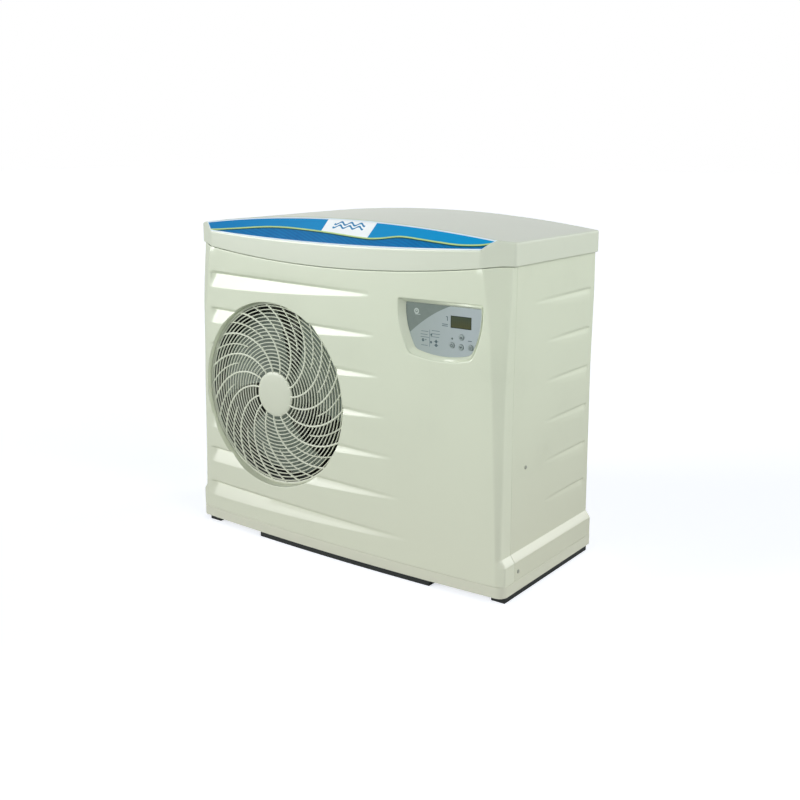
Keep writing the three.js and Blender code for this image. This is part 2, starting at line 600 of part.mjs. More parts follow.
function fanDrive() {
  const nutSix = rod("y", 11, FAN_Y - 10 - SEAT, FAN_Y - SEAT, FAN_X, Z_FAN, 6);
  const nutBore = rod("y", SHAFT_R + SEAT, FAN_Y - 20, FAN_Y + 5, FAN_X, Z_FAN, 16);
  const shaft = rod("y", SHAFT_R, FAN_Y - 14, MOTOR_Y + 24, FAN_X, Z_FAN, 16);
  const [y0, y1] = [MOTOR_Y, MOTOR_Y + MOTOR_LONG];
  const bore = SHAFT_R + RUN;
  const profile = [
    [bore, y0], [24, y0], [28, y0 + 8], [MOTOR_R - 6, y0 + 8], [MOTOR_R, y0 + 14], [MOTOR_R, y1 - 14],
    [MOTOR_R - 6, y1 - 8], [0, y1 - 8], [0, y0 + 30], [bore, y0 + 30], [bore, y0],
  ];
  const plateY = y1 - 8 + SEAT;
  const [half, up] = [RAIL_APART / 2, 70];
  const plate = block(FAN_X - half - 16, FAN_X + half + 16, plateY, plateY + 3, Z_FAN - up, Z_FAN + up);
  const railY = plateY + 3 + SEAT;
  const rail = (x) => {
    const outside = block(x - 13, x + 13, railY, railY + 20, Z_FLOOR + SEAT, Z_SEAM - 20);
    const trough = block(x - 11, x + 11, railY + 2, railY + 21, Z_FLOOR, Z_SEAM - 15);
    return cut(outside, trough);
  };
  return [
    node("fan_nut", cut(nutSix, nutBore), ZINC),
    node("motor_shaft", shaft, ZINC),
    node("fan_motor", turned(profile, FAN_X, Z_FAN, 24), BLACK_METAL),
    node("motor_plate", plate, ZINC),
    node("motor_rail_left", rail(FAN_X - half), ZINC),
    node("motor_rail_right", rail(FAN_X + half), ZINC),
  ];
}

// ---------------------------------------------------------------- rear and partition
const COIL_Y = [DEPTH - COIL_REACH - COIL_DEEP, DEPTH - COIL_REACH];

function evaporatorCoil() {
  const [x0, x1] = [-HALF + 44, PARTITION_X - 22];
  const [z0, z1] = [Z_FLOOR + SEAT, Z_SEAM - 34];
  const fins = block(x0, x1, COIL_Y[0], COIL_Y[1], z0, z1);
  const sheets = [x0, x1].map((x) => block(x - 1.5, x + 1.5, COIL_Y[0] - 5, COIL_Y[1] + 4, z0, z1));
  const header = rod("z", 11, z0 + 30, z1 - 30, x1 + 8, COIL_Y[0] + 14, 14);
  return node("evaporator_coil", join(fins, ...sheets, header), ALUMINIUM);
}

function coilGuard() {
  const [x0, x1] = [-HALF + WALL_INSET + RETURN + SEAT, PARTITION_X + SHEET - SEAT];
  const [z0, z1] = [Z_TRAY + SEAT, Z_SEAM - SEAT];
  const [columns, rows, rim, bar] = [5, 7, 14, 9];
  const wide = (x1 - x0 - 2 * rim - (columns - 1) * bar) / columns;
  const tall = (z1 - z0 - 2 * rim - (rows - 1) * bar) / rows;
  const plate = block(x0, x1, ...REAR_PLATE, z0, z1);
  const holes = [];
  for (let c = 0; c < columns; c++)
    for (let r = 0; r < rows; r++) {
      const [x, z] = [x0 + rim + c * (wide + bar), z0 + rim + r * (tall + bar)];
      holes.push(block(x, x + wide, DEPTH - 20, DEPTH + 5, z, z + tall));
    }
  return node("coil_guard", cut(plate, ...holes), CASING);
}

function rearPanel() {
  const [x0, x1] = [PARTITION_X + SHEET + SEAT, HALF - WALL_INSET - RETURN - SEAT];
  const plate = block(x0, x1, ...REAR_PLATE, Z_TRAY + SEAT, Z_SEAM - SEAT);
  const hole = (x, h, r) => rod("y", r, DEPTH - 20, DEPTH + 5, x, FOOT + h, 24);
  const holes = [PORT_LOW, PORT_HIGH].map((h) => hole(SHELL_X, h, PORT_R + SEAT));
  return node("rear_panel", cut(plate, ...holes, hole(GLAND_X, GLAND_H, GLAND_R + SEAT)), CASING);
}

function partition() {
  const [y0, y1] = [GRILLE_BACK + 80, DEPTH - TRAY_WALL - SEAT];
  const wall = block(PARTITION_X, PARTITION_X + SHEET, y0, y1, Z_FLOOR + SEAT, Z_SEAM - 14);
  return node("partition_panel", wall, ZINC);
}

// ---------------------------------------------------------------- refrigerant circuit
const Z_COMPRESSOR = Z_FLOOR + SEAT + GROMMET + SEAT;
const footAngles = spread(4, 0, 2 * Math.PI).slice(1).map((a) => a + 0.5);
const footPlace = (a) => [COMPRESSOR_X + (COMPRESSOR_R + 18) * Math.cos(a), COMPRESSOR_Y + (COMPRESSOR_R + 18) * Math.sin(a)];

function compressor() {
  const [r, z0] = [COMPRESSOR_R, Z_COMPRESSOR];
  const z1 = z0 + COMPRESSOR_TALL;
  const profile = [
    [0, z0], [r - 20, z0 + 4], [r, z0 + 24], [r, z1 - 60], [r - 3, z1 - 30], [r - 22, z1 - 10], [r - 45, z1], [0, z1],
  ];
  const lugs = footAngles.map((a) => {
    const [x, y] = footPlace(a);
    const [cx, cy] = [COMPRESSOR_X + (r - 20) * Math.cos(a), COMPRESSOR_Y + (r - 20) * Math.sin(a)];
    const side = [-Math.sin(a) * 18, Math.cos(a) * 18];
    const arm = [
      [cx + side[0], cy + side[1]], [cx - side[0], cy - side[1]],
      [x - side[0], y - side[1]], [x + side[0], y + side[1]],
    ].reverse();
    return prism("xy", arm, z0 + 4, z0 + 8).add(rod("z", 18, z0 + 4, z0 + 8, x, y, 20));
  });
  return node("compressor", join(turnedUp(profile, COMPRESSOR_X, COMPRESSOR_Y), ...lugs), BLACK_METAL);
}

function grommets() {
  return footAngles.map((a, i) => {
    const [x, y] = footPlace(a);
    const made = rod("z", 15, Z_FLOOR + SEAT, Z_COMPRESSOR + 4 - SEAT, x, y, 20, 12);
    return node(`compressor_grommet_${i + 1}`, made, RUBBER);
  });
}

const ACCUMULATOR_TURN = 1.25; // where the accumulator stands round the compressor
const accumulatorReach = COMPRESSOR_R + ACCUMULATOR_R + 2 * SEAT;
const ACCUMULATOR_X = COMPRESSOR_X + accumulatorReach * Math.cos(ACCUMULATOR_TURN);
const ACCUMULATOR_Y = COMPRESSOR_Y + accumulatorReach * Math.sin(ACCUMULATOR_TURN);
const Z_ACCUMULATOR = Z_COMPRESSOR + 70;

function accumulator() {
  const [r, z0] = [ACCUMULATOR_R, Z_ACCUMULATOR];
  const z1 = z0 + ACCUMULATOR_TALL;
  const profile = [[0, z0], [r - 14, z0 + 3], [r, z0 + 18], [r, z1 - 18], [r - 14, z1 - 3], [0, z1]];
  return node("suction_accumulator", turnedUp(profile, ACCUMULATOR_X, ACCUMULATOR_Y, 24), BLACK_METAL);
}

function terminalCover() {
  const z = Z_COMPRESSOR + COMPRESSOR_TALL * 0.45;
  const x = COMPRESSOR_X + COMPRESSOR_R - 4;
  const box = block(x, x + 24, COMPRESSOR_Y - 28, COMPRESSOR_Y + 28, z, z + 60);
  const shell = rod("z", COMPRESSOR_R + SEAT, z - 9, z + 90, COMPRESSOR_X, COMPRESSOR_Y, 56);
  return node("compressor_terminal_cover", cut(box, shell), BLACK_METAL);
}

// Four-way valve above the compressor, with the brazed copper stubs of its own.
const VALVE_Z = Z_COMPRESSOR + COMPRESSOR_TALL + 80;
const VALVE_Y = COMPRESSOR_Y;
const Z_SHELL_TOP = Z_FLOOR + SEAT + SHELL_TALL;

function reversingValve() {
  const body = rod("x", 16, COMPRESSOR_X - 62, COMPRESSOR_X + 62, VALVE_Y, VALVE_Z, 20);
  const stub = rod("z", 6, VALVE_Z - 34, VALVE_Z, COMPRESSOR_X, VALVE_Y, 12);
  const lower = [-30, 0, 30].map((dx) => rod("z", 8, VALVE_Z, VALVE_Z + 34, COMPRESSOR_X + dx, VALVE_Y, 12));
  const pilot = block(COMPRESSOR_X - 20, COMPRESSOR_X + 20, VALVE_Y - 46, VALVE_Y - 14, VALVE_Z - 12, VALVE_Z + 12);
  return node("reversing_valve", join(body, stub, ...lower, pilot), COPPER);
}

const DRIER_H = 420;

function copperPipes() {
  const top = VALVE_Z + 34 + SEAT;
  const discharge = pipe(6, [
    [COMPRESSOR_X, COMPRESSOR_Y, Z_COMPRESSOR + COMPRESSOR_TALL + SEAT],
    [COMPRESSOR_X, COMPRESSOR_Y, VALVE_Z - 34 - SEAT],
  ], 2);
  const suction = pipe(8, [
    [COMPRESSOR_X, VALVE_Y, top], [COMPRESSOR_X, VALVE_Y, top + 20], [COMPRESSOR_X + 16, VALVE_Y + 50, top + 44],
    [ACCUMULATOR_X, ACCUMULATOR_Y, top + 16], [ACCUMULATOR_X, ACCUMULATOR_Y, top - 40],
    [ACCUMULATOR_X, ACCUMULATOR_Y, Z_ACCUMULATOR + ACCUMULATOR_TALL + SEAT],
  ]);
  const gas = pipe(8, [
    [COMPRESSOR_X - 30, VALVE_Y, top], [COMPRESSOR_X - 30, VALVE_Y, top + 24],
    [COMPRESSOR_X - 60, VALVE_Y + 20, top + 56], [SHELL_X + 50, SHELL_Y - 30, top + 64],
    [SHELL_X, SHELL_Y, top + 44], [SHELL_X, SHELL_Y, top + 20], [SHELL_X, SHELL_Y, Z_SHELL_TOP - 6],
  ]);
  const drier = [PARTITION_X + 42, SHELL_Y - 140];
  const zDrier = FOOT + DRIER_H;
  const filter = turnedUp([
    [0, zDrier], [7, zDrier], [22, zDrier + 14], [22, zDrier + 86], [7, zDrier + 100], [0, zDrier + 100],
  ], ...drier, 20);
  const liquid = pipe(5, [
    [SHELL_X - 30, SHELL_Y - 20, Z_SHELL_TOP - 6], [SHELL_X - 30, SHELL_Y - 20, Z_SHELL_TOP + 15],
    [SHELL_X - 30, SHELL_Y - 20, Z_SHELL_TOP + 30],
    [drier[0] + 16, drier[1] + 60, Z_SHELL_TOP + 30], [drier[0] + 4, drier[1] + 40, zDrier - 20],
    [drier[0], drier[1], zDrier - 34], [drier[0], drier[1], zDrier - SEAT],
  ]);
  return { discharge, suction, gas, filter, liquid };
}

function refrigerantLines() {
  const made = copperPipes();
  return [
    node("discharge_pipe", made.discharge, COPPER),
    node("suction_pipe", made.suction, COPPER),
    node("gas_pipe", made.gas, COPPER),
    node("filter_drier", made.filter, COPPER),
    node("liquid_pipe", made.liquid, COPPER),
  ];
}

// ---------------------------------------------------------------- water side
function heatExchanger() {
  const [r, z0] = [SHELL_R, Z_FLOOR + SEAT];
  const z1 = z0 + SHELL_TALL;
  const profile = [[0, z0], [r + 4, z0], [r + 4, z0 + 12], [r, z0 + 16], [r, z1 - 26], [r + 6, z1 - 26], [r + 6, z1 - 14], [0, z1 - 14]];
  const shell = turnedUp(profile, SHELL_X, SHELL_Y, 24);
  const cap = turnedUp([[0, z1 - 14 + SEAT], [r + 6, z1 - 14 + SEAT], [r + 6, z1 - 2], [r - 8, z1 + 8], [0, z1 + 14]],
    SHELL_X, SHELL_Y, 24);
  const stub = (x, y, bore) => rod("z", bore + SEAT, z1 - 30, z1 + 90, x, y, 12);
  const bored = cut(cap, stub(SHELL_X, SHELL_Y, 8), stub(SHELL_X - 30, SHELL_Y - 20, 5));
  return [node("heat_exchanger_shell", shell, PIPE_GREY), node("heat_exchanger_cap", bored, PIPE_GREY)];
}

function waterPipe(name, h) {
  const z = FOOT + h;
  const end = DEPTH + PORT_REACH;
  const body = rod("y", PORT_R, SHELL_Y, end, SHELL_X, z);
  const collar = rod("y", PORT_R + 5, end - 4, end, SHELL_X, z);
  const bore = rod("y", PORT_BORE, end - 90, end + 1, SHELL_X, z);
  const shell = rod("z", SHELL_R + SEAT, z - 60, z + 60, SHELL_X, SHELL_Y, 48);
  return node(name, cut(join(body, collar), bore, shell), PIPE_GREY);
}

// Ribbed union nut that turns freely round the connection, kept on by its collar.
function unionNut(name, h) {
  const z = FOOT + h;
  const [y0, y1] = [DEPTH + 3, DEPTH + PORT_REACH - 4 - RUN];
  const sleeve = rod("y", NUT_R - 3, y0, y1, SHELL_X, z, 24);
  const ribs = circle(SHELL_X, z, NUT_R - 3, 8).map(([x, zz]) => rod("y", 3, y0 + 2, y1 - 2, x, zz, 6));
  const bore = rod("y", PORT_R + RUN, y0 - 1, y1 + 1, SHELL_X, z, 24);
  return node(name, cut(join(sleeve, ...ribs), bore), BLACK_METAL);
}

function flowSwitch() {
  const z = FOOT + PORT_LOW;
  const y = SHELL_Y + SHELL_R + 32;
  const stem = rod("z", 8, z + PORT_R - 2, z + PORT_R + 16, SHELL_X, y, 16);
  const head = block(SHELL_X - 17, SHELL_X + 17, y - 17, y + 17, z + PORT_R + 16, z + PORT_R + 50);
  const seat = rod("y", PORT_R + SEAT, y - 60, y + 60, SHELL_X, z);
  return node("flow_switch", cut(join(stem, head), seat), BLACK_METAL);
}

// ---------------------------------------------------------------- electrical parts
function electricalBox() {
  const [wide, deep, tall] = BOX;
  const [x0, y0, z0] = [PARTITION_X + SHEET + SEAT, 72 + GRILLE_BACK, FOOT + BOX_H];
  const [x1, y1, z1] = [x0 + wide, y0 + deep, z0 + tall];
  const tray = cut(block(x0, x1, y0, y1, z0, z1), block(x0 + 2, x1 - 2, y0 - 1, y1 - 2, z0 + 2, z1 - 2));
  const cover = block(x0, x1, y0 - 2 - SEAT, y0 - SEAT, z0, z1);
  const back = y1 - 2 - SEAT;
  const contactorBody = block(x0 + 18, x0 + 64, back - 70, back, z0 + 70, z0 + 140);
  const contactorTop = block(x0 + 24, x0 + 58, back - 82, back - 70, z0 + 84, z0 + 126);
  const capacitor = rod("z", 22, z0 + 2 + SEAT, z0 + 105, x0 + 120, back - 30, 24);
  const terminals = block(x0 + 150, x0 + 200, back - 26, back, z0 + 50, z0 + 86);
  return [
    node("electrical_box", tray, ZINC),
    node("electrical_box_cover", cover, ZINC),
    node("contactor", join(contactorBody, contactorTop), BLACK_METAL),
    node("run_capacitor", capacitor, ALUMINIUM),
    node("terminal_block", terminals, GREY),
  ];
}

// Cord grip for the supply cable, screwed into the rear panel.
function cableGland() {
  const z = FOOT + GLAND_H;
  const face = REAR_PLATE[1] + SEAT;
  const hex = rod("y", GLAND_R + 6, face, face + 7, GLAND_X, z, 6);
  const dome = rod("y", GLAND_R + 3, face + 7, face + 24, GLAND_X, z, 20, GLAND_R - 2);
  const thread = rod("y", GLAND_R, face - 14, face, GLAND_X, z, 20);
  const bore = rod("y", 6.5, face - 20, face + 30, GLAND_X, z, 20);
  return node("cable_gland", cut(join(hex, dome, thread), bore), BLACK_METAL);
}

// ---------------------------------------------------------------- control panel
const OVERLAY_BACK = PANEL_Y + OVERLAY + SEAT;
const FLOOR_Y = [OVERLAY_BACK + SEAT, OVERLAY_BACK + SEAT + HOUSING_FLOOR];
const BOARD_Y = FLOOR_Y[1] + 10;

const keyHole = (x, h, r, y0, y1) => rod("y", r, y0, y1, x, FOOT + h, 14);

function screenBlock(grow, y0, y1) {
  const [x, h, wide, tall] = SCREEN;
  return block(x - wide / 2 - grow, x + wide / 2 + grow, y0, y1, FOOT + h - tall / 2 - grow, FOOT + h + tall / 2 + grow);
}

function controlPanel() {
  const inner = panelOutline(-PANEL_TAPER - SEAT);
  const keyHoles = KEYS.map(([x, h]) => keyHole(x, h, KEY_R + RUN / 2, -9, 40));
  const lampHole = keyHole(...LAMP, 2.2 + SEAT, -9, 40);
  const film = prism("xz", inner, PANEL_Y, PANEL_Y + OVERLAY);
  const overlay = cut(film, ...keyHoles, lampHole, screenBlock(SEAT, -9, 40));
  const wide = panelOutline(-PANEL_TAPER + WALL + 6);
  const floor = prism("xz", wide, ...FLOOR_Y);
  const cup = floor.add(prism("xz", panelOutline(-PANEL_TAPER + 2), FLOOR_Y[0] + 1, HOUSING_DEEP));
  const room = prism("xz", panelOutline(-PANEL_TAPER), FLOOR_Y[1], HOUSING_DEEP + 1);
  const posts = [onPanel(-84, 17), onPanel(84, 17), onPanel(-62, 109)].map(([x, h]) =>
    keyHole(x, h, 4, FLOOR_Y[0] + 1, BOARD_Y - SEAT));
  const housing = join(cut(cup, room), ...posts);
  const housingCut = cut(housing, ...keyHoles, lampHole, screenBlock(-3, -9, BOARD_Y));
  const boardOutline = panelOutline(-PANEL_TAPER - 5);
  const plate = prism("xz", boardOutline, BOARD_Y, BOARD_Y + 1.6);
  const reach = FLOOR_Y[1] + SEAT + 1 + KEY_TRAVEL + SEAT;
  const switches = KEYS.map(([x, h]) => keyHole(x, h, 3, reach, BOARD_Y + 1));
  const display = screenBlock(1, FLOOR_Y[1] + SEAT, BOARD_Y + 1);
  const window = screenBlock(-SEAT, PANEL_Y, PANEL_Y + OVERLAY);
  const lamp = keyHole(...LAMP, 2.2, PANEL_Y - 0.6, BOARD_Y + 1);
  return [
    node("control_housing", housingCut, CASING),
    node("control_overlay", overlay, GREY),
    node("controller_board", join(plate, display, lamp, ...switches), BOARD_GREEN),
    node("display_window", window, SCREEN_GREEN),
  ];
}

function key(i) {
  const [x, h] = KEYS[i];
  const cap = keyHole(x, h, KEY_R, PANEL_Y - KEY_PROUD, FLOOR_Y[1] + SEAT);
  const flange = keyHole(x, h, KEY_R + 1.4, FLOOR_Y[1] + SEAT, FLOOR_Y[1] + SEAT + 1);
  return node(`control_key_${i + 1}`, join(cap, flange), GREY);
}

// ---------------------------------------------------------------- assembly
const cabinet = new THREE.Group();
cabinet.add(baseTray(), ...footStrips(), drainSpout(), frontPanel());
cabinet.add(sidePanel("side_panel_right", 1), sidePanel("side_panel_left", -1));
for (const [name, side] of [["right", 1], ["left", -1]]) {
  cabinet.add(sideScrew(`side_screw_${name}`, side, 115, 292), sideScrew(`base_screw_${name}`, side, 68, 50));
}
cabinet.add(rearPanel(), coilGuard(), partition(), lid(), lidLabel());
cabinet.add(fanGrille(), fanOrifice(), fanPropeller(), ...fanDrive(), evaporatorCoil());
cabinet.add(compressor(), ...grommets(), accumulator(), terminalCover(), reversingValve(), ...refrigerantLines());
cabinet.add(...heatExchanger(), waterPipe("water_inlet_pipe", PORT_LOW), waterPipe("water_outlet_pipe", PORT_HIGH));
cabinet.add(unionNut("union_nut_inlet", PORT_LOW), unionNut("union_nut_outlet", PORT_HIGH), flowSwitch());
cabinet.add(...electricalBox(), cableGland(), ...controlPanel(), ...KEYS.map((_, i) => key(i)));
cabinet.position.y = -(DEPTH + PORT_REACH - BOW) / 2; // centred front to back over its whole depth

const unit = new THREE.Group();
unit.add(cabinet);
export default unit;
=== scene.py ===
"""Looks of the pool heat pump: a cream moulded cabinet with a big fan behind a round grille."""

import math

import bpy
import numpy as np
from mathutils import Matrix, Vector
from mathutils.geometry import delaunay_2d_cdt


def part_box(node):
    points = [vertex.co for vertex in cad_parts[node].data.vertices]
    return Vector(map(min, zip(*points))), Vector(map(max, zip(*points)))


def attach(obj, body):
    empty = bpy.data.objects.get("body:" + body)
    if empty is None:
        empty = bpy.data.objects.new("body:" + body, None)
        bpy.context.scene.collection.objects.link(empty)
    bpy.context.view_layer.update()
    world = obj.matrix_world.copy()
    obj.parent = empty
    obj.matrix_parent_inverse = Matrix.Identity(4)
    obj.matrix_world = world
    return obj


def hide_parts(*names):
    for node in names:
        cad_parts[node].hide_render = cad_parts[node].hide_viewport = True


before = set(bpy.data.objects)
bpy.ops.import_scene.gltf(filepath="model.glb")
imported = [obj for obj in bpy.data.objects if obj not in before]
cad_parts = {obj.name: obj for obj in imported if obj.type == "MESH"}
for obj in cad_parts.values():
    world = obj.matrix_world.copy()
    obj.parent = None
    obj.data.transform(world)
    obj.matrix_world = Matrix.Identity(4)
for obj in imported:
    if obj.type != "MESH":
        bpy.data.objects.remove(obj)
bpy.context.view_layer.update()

# ---------------------------------------------------------------- viewpoint
# The cabinet is seen from the front right, a little from above, with a long lens.
# Places are in millimetres: x from the middle, y back from the front corners, z up from the ground.
CABINET_DEEP = 445
REAR_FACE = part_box("base_tray")[1].y
FRONT_FACE = REAR_FACE - CABINET_DEEP / 1000
CAMERA_X, CAMERA_Y, CAMERA_Z = 1695.6, -2020, 1074.5
CAMERA_TURN, CAMERA_DROP = 36.47, 10.21
CAMERA_LENS, CAMERA_SHIFT = 48.07, -0.0875


def at(x, y, z):
    return Vector((x / 1000, REAR_FACE + (y - CABINET_DEEP) / 1000, z / 1000))


bpy.ops.object.select_all(action="DESELECT")
bpy.ops.object.camera_add(
    location=at(CAMERA_X, CAMERA_Y, CAMERA_Z),
    rotation=(math.radians(90 - CAMERA_DROP), 0, math.radians(CAMERA_TURN)),
)
camera = bpy.context.object
camera.data.lens = CAMERA_LENS
camera.data.shift_y = CAMERA_SHIFT
bpy.context.scene.camera = camera
bpy.context.scene.view_settings.view_transform = "Standard"

# ---------------------------------------------------------------- light and ground
# A broad low lamp stands at the front left, a second at the right and a weak one behind.
# The floor is pale, and shows white wherever the cabinet's soft shadow doesn't lie.
KEY_TURN, KEY_UP, KEY_STRENGTH = -43, 12, 2.2
SIDE_TURN, SIDE_UP, SIDE_STRENGTH = 84, 12, 2.0
RIM_TURN, RIM_UP, RIM_STRENGTH = 146, 24, 0.6
ROOM_LOW, ROOM_HIGH, ROOM_SEEN = (0.49, 0.5, 0.52), (0.07, 0.09, 0.12), (1, 1, 1)
FLOOR_PAINT, FLOOR_GLOW = (0.62, 0.61, 0.6, 1), (0.68, 0.7, 0.74)


def soft_sun(name, turn, up, strength, spread):
    """A lamp that stands turn degrees round from the front towards the right, up degrees high."""
    bpy.ops.object.light_add(type="SUN", rotation=(math.radians(90 - up), 0, math.radians(turn)))
    lamp = bpy.context.object
    lamp.name = name
    lamp.data.energy = strength
    lamp.data.angle = math.radians(spread)


soft_sun("key_lamp", KEY_TURN, KEY_UP, KEY_STRENGTH, 27)
soft_sun("side_lamp", SIDE_TURN, SIDE_UP, SIDE_STRENGTH, 50)
soft_sun("rim_lamp", RIM_TURN, RIM_UP, RIM_STRENGTH, 20)


class Wire:
    """A socket in a material's or the room's nodes, so that sums on it are written as sums."""

    def __init__(self, tree, socket=None):
        self.tree = tree
        self.socket = socket

    def node(self, kind, settings=None, inputs=None, output=0):
        """Adds a node with its settings and the values or links of its sockets."""
        made = self.tree.nodes.new(kind)
        for key, value in (settings or {}).items():
            setattr(made, key, value)
        for key, value in (inputs or {}).items():
            if isinstance(value, Wire):
                self.tree.links.new(value.socket, made.inputs[key])
            else:
                made.inputs[key].default_value = value
        return Wire(self.tree, made.outputs[output])

    def maths(self, operation, *terms):
        """A Math node on the terms, or on this value alone when none are given."""
        return self.node("ShaderNodeMath", {"operation": operation}, dict(enumerate(terms or [self])))

    def __add__(self, other):
        return self.maths("ADD", self, other)

    def __sub__(self, other):
        return self.maths("SUBTRACT", self, other)

    def __rsub__(self, other):
        return self.maths("SUBTRACT", other, self)

    def __mul__(self, other):
        return self.maths("MULTIPLY", self, other)

    def __truediv__(self, other):
        return self.maths("DIVIDE", self, other)

    def __abs__(self):
        return self.maths("ABSOLUTE")

    __radd__ = __add__
    __rmul__ = __mul__

    def between(self, low, high, soft=1e-6):
        """1 where the value lies between low and high, with edges that fade over soft."""
        rise, fall = (
            self.node(
                "ShaderNodeMapRange",
                {"interpolation_type": "SMOOTHSTEP"},
                {"Value": self, "From Min": edge - soft, "From Max": edge + soft},
            )
            for edge in (low, high)
        )
        return rise - fall

    def blend(self, first, second):
        """Colour first where this is 0 and second where it is 1."""
        first, second = (c if isinstance(c, Wire) else (*c, 1) for c in (first, second))
        return self.node("ShaderNodeMix", {"data_type": "RGBA"}, {0: self, 6: first, 7: second}, output=2)

    def parts(self):
        """The three parts of a place or a vector."""
        split = self.node("ShaderNodeSeparateXYZ", {}, {0: self}).socket.node
        return [Wire(self.tree, part) for part in split.outputs]


def strongest(*marks):
    """The greatest of several values."""
    made = marks[0]
    for mark in marks[1:]:
        made = made.maths("MAXIMUM", made, mark)
    return made


def blank_look(name):
    """A new material, its node tree as a Wire, the place on the piece, and its shader's inputs."""
    made = bpy.data.materials.new(name)
    made.use_nodes = True
    tree = Wire(made.node_tree)
    place = tree.node("ShaderNodeTexCoord", output=3)
    return made, tree, place, made.node_tree.nodes["Principled BSDF"].inputs


def feed(look, wire, socket):
    """Links a value to a socket of a material's shader."""
    look.node_tree.links.new(wire.socket, look.node_tree.nodes["Principled BSDF"].inputs[socket])


room = bpy.data.worlds.new("white_room")
bpy.context.scene.world = room
room.use_nodes = True
air = Wire(room.node_tree)
looked_at, mirrored, seen_through = (air.node("ShaderNodeLightPath", output=k) for k in (0, 3, 6))
height = air.node("ShaderNodeTexCoord", output=0).parts()[2]
room_tone = strongest(looked_at, mirrored, seen_through).blend(height.blend(ROOM_LOW, ROOM_HIGH), ROOM_SEEN)
room.node_tree.links.new(room_tone.socket, room.node_tree.nodes["Background"].inputs["Color"])

bpy.ops.mesh.primitive_plane_add(size=60, location=(0, 0, 0))
floor = bpy.context.object
floor.name = "floor"
floor_look, tree, _, shader = blank_look("pale_floor")
shader["Base Color"].default_value = FLOOR_PAINT
shader["Roughness"].default_value = 1
shader["Specular IOR Level"].default_value = 0
shader["Emission Strength"].default_value = 1
feed(floor_look, tree.node("ShaderNodeLightPath", output=0).blend((0, 0, 0), FLOOR_GLOW), "Emission Color")
floor.data.materials.append(floor_look)


# ---------------------------------------------------------------- front panel
# One injection-moulded panel of cream plastic, bowed and wrapped round both corners.
# Seven flutes fall away from the left, and the fan opening and the control recess are moulded in.
def srgb(red, green, blue):
    """A colour as it is seen, 0 to 255, in the linear values that a material takes."""
    return tuple(
        (c / 255 / 12.92) if c < 10.3 else ((c / 255 + 0.055) / 1.055) ** 2.4
        for c in (red, green, blue)
    )


def moulded(name, color, rough=0.29, low=(0.945, 0.895, 0.92)):
    """Satin moulding: uneven colour and gloss, a fine grain, slow waves, and colour that turns darker and
    warmer towards the bottom.
    """
    made, tree, place, _ = blank_look(name)
    patches = tree.node("ShaderNodeTexNoise", {}, {"Vector": place, "Scale": 4.5, "Detail": 3})
    fine = tree.node("ShaderNodeTexNoise", {}, {"Vector": place, "Scale": 900, "Detail": 1})
    slow = tree.node("ShaderNodeTexNoise", {}, {"Vector": place, "Scale": 11, "Detail": 1})
    dark = tuple(c * (1 - UNEVEN) for c in color)
    light = tuple(min(1, c * (1 + UNEVEN)) for c in color)
    tone = patches.between(0.3, 2, 0.3).blend(dark, light)
    # Towards the bottom the colour turns darker and warmer, by the factors in low.
    lower_zone = (DARKENS_BELOW - place.parts()[2]).between(0, 2, 0.4) * 0.85
    feed(made, lower_zone.blend(tone, tuple(c * k for c, k in zip(color, low))), "Base Color")
    feed(made, fine * 0.06 + patches * 0.05 + (rough - 0.055), "Roughness")
    relief = fine * GRAIN_HIGH + slow * WAVE_HIGH
    feed(made, tree.node("ShaderNodeBump", {}, {"Height": relief, "Strength": 0.6, "Distance": 1}), "Normal")
    return made


# Spread of the random colour patches, and the height in metres below which the mouldings turn darker towards
# the bottom.
UNEVEN, DARKENS_BELOW = 0.035, 0.3
GRAIN_HIGH, WAVE_HIGH = 0.00002, 0.0004
CREAM = srgb(213, 221, 198)
cream = moulded("cream_casing", CREAM)

BOW = 17
Z_BASE = 13
Z_SEAM, SEAM_SAG, SMILE_HALF = 791, 32, 470
HALF = 500
FAN_X, FAN_Z = -213, 404
OPENING_R = 248


def front_bow(x):
    """How far the front stands out at x."""
    return -BOW * (1 - (x / HALF) ** 2)


def smile(x):
    """1 in the middle, falling to 0 where the lid's smile-shaped lower edge ends."""
    return max(0.0, 1 - (x / SMILE_HALF) ** 2)


def seam_z(x):
    """Height of the lid's lower edge at x."""
    return Z_SEAM - SEAM_SAG * smile(x)


# The casing's sides and rounded corners taper: how far in each stands at a height above the base.
def side_inset(h):
    return float(np.interp(h, [75, 92, 482, 677], [0, 12.5, 12.5, 8.4]))


def corner_x(h):
    return HALF - float(np.interp(h, [92, 311, 475, 615, 778], [21, 30, 36, 44, 64]))


def corner_y(h):
    return float(np.interp(h, [92, 389, 615, 778], [9, 12, 20, 34]))


FLUTE_MARKS = [-6.5, -4.0, -1.7, 0.6, 2.8]
STEP_FIRST, STEP_LAST = FLUTE_MARKS[0], FLUTE_MARKS[-1]
FLUTE_COUNT, FLUTE_FIRST, FLUTE_PITCH, FLUTE_FALL = 7, 106.7, 99.2, 0.0175
FLUTE_TIP_TALL, FLUTE_TALL, FLUTE_DEEP = 7, 33, 8
FLUTE_ROUND, FLUTE_RUN_IN = 2, 0.03


def flute_cut(below, tall, deep, curve=1.0):
    """Depth of a flute at a distance below its upper edge: a sharp step in, then a slope back out."""
    if below <= STEP_FIRST or below >= tall + FLUTE_ROUND:
        return 0.0
    step = min(1.0, (below - STEP_FIRST) / (STEP_LAST - STEP_FIRST))
    rest = tall - below
    slope = rest if rest > FLUTE_ROUND else (rest + FLUTE_ROUND) ** 2 / (4 * FLUTE_ROUND)
    return deep * step * step * (3 - 2 * step) * min(1.0, slope / (tall - FLUTE_ROUND)) ** curve


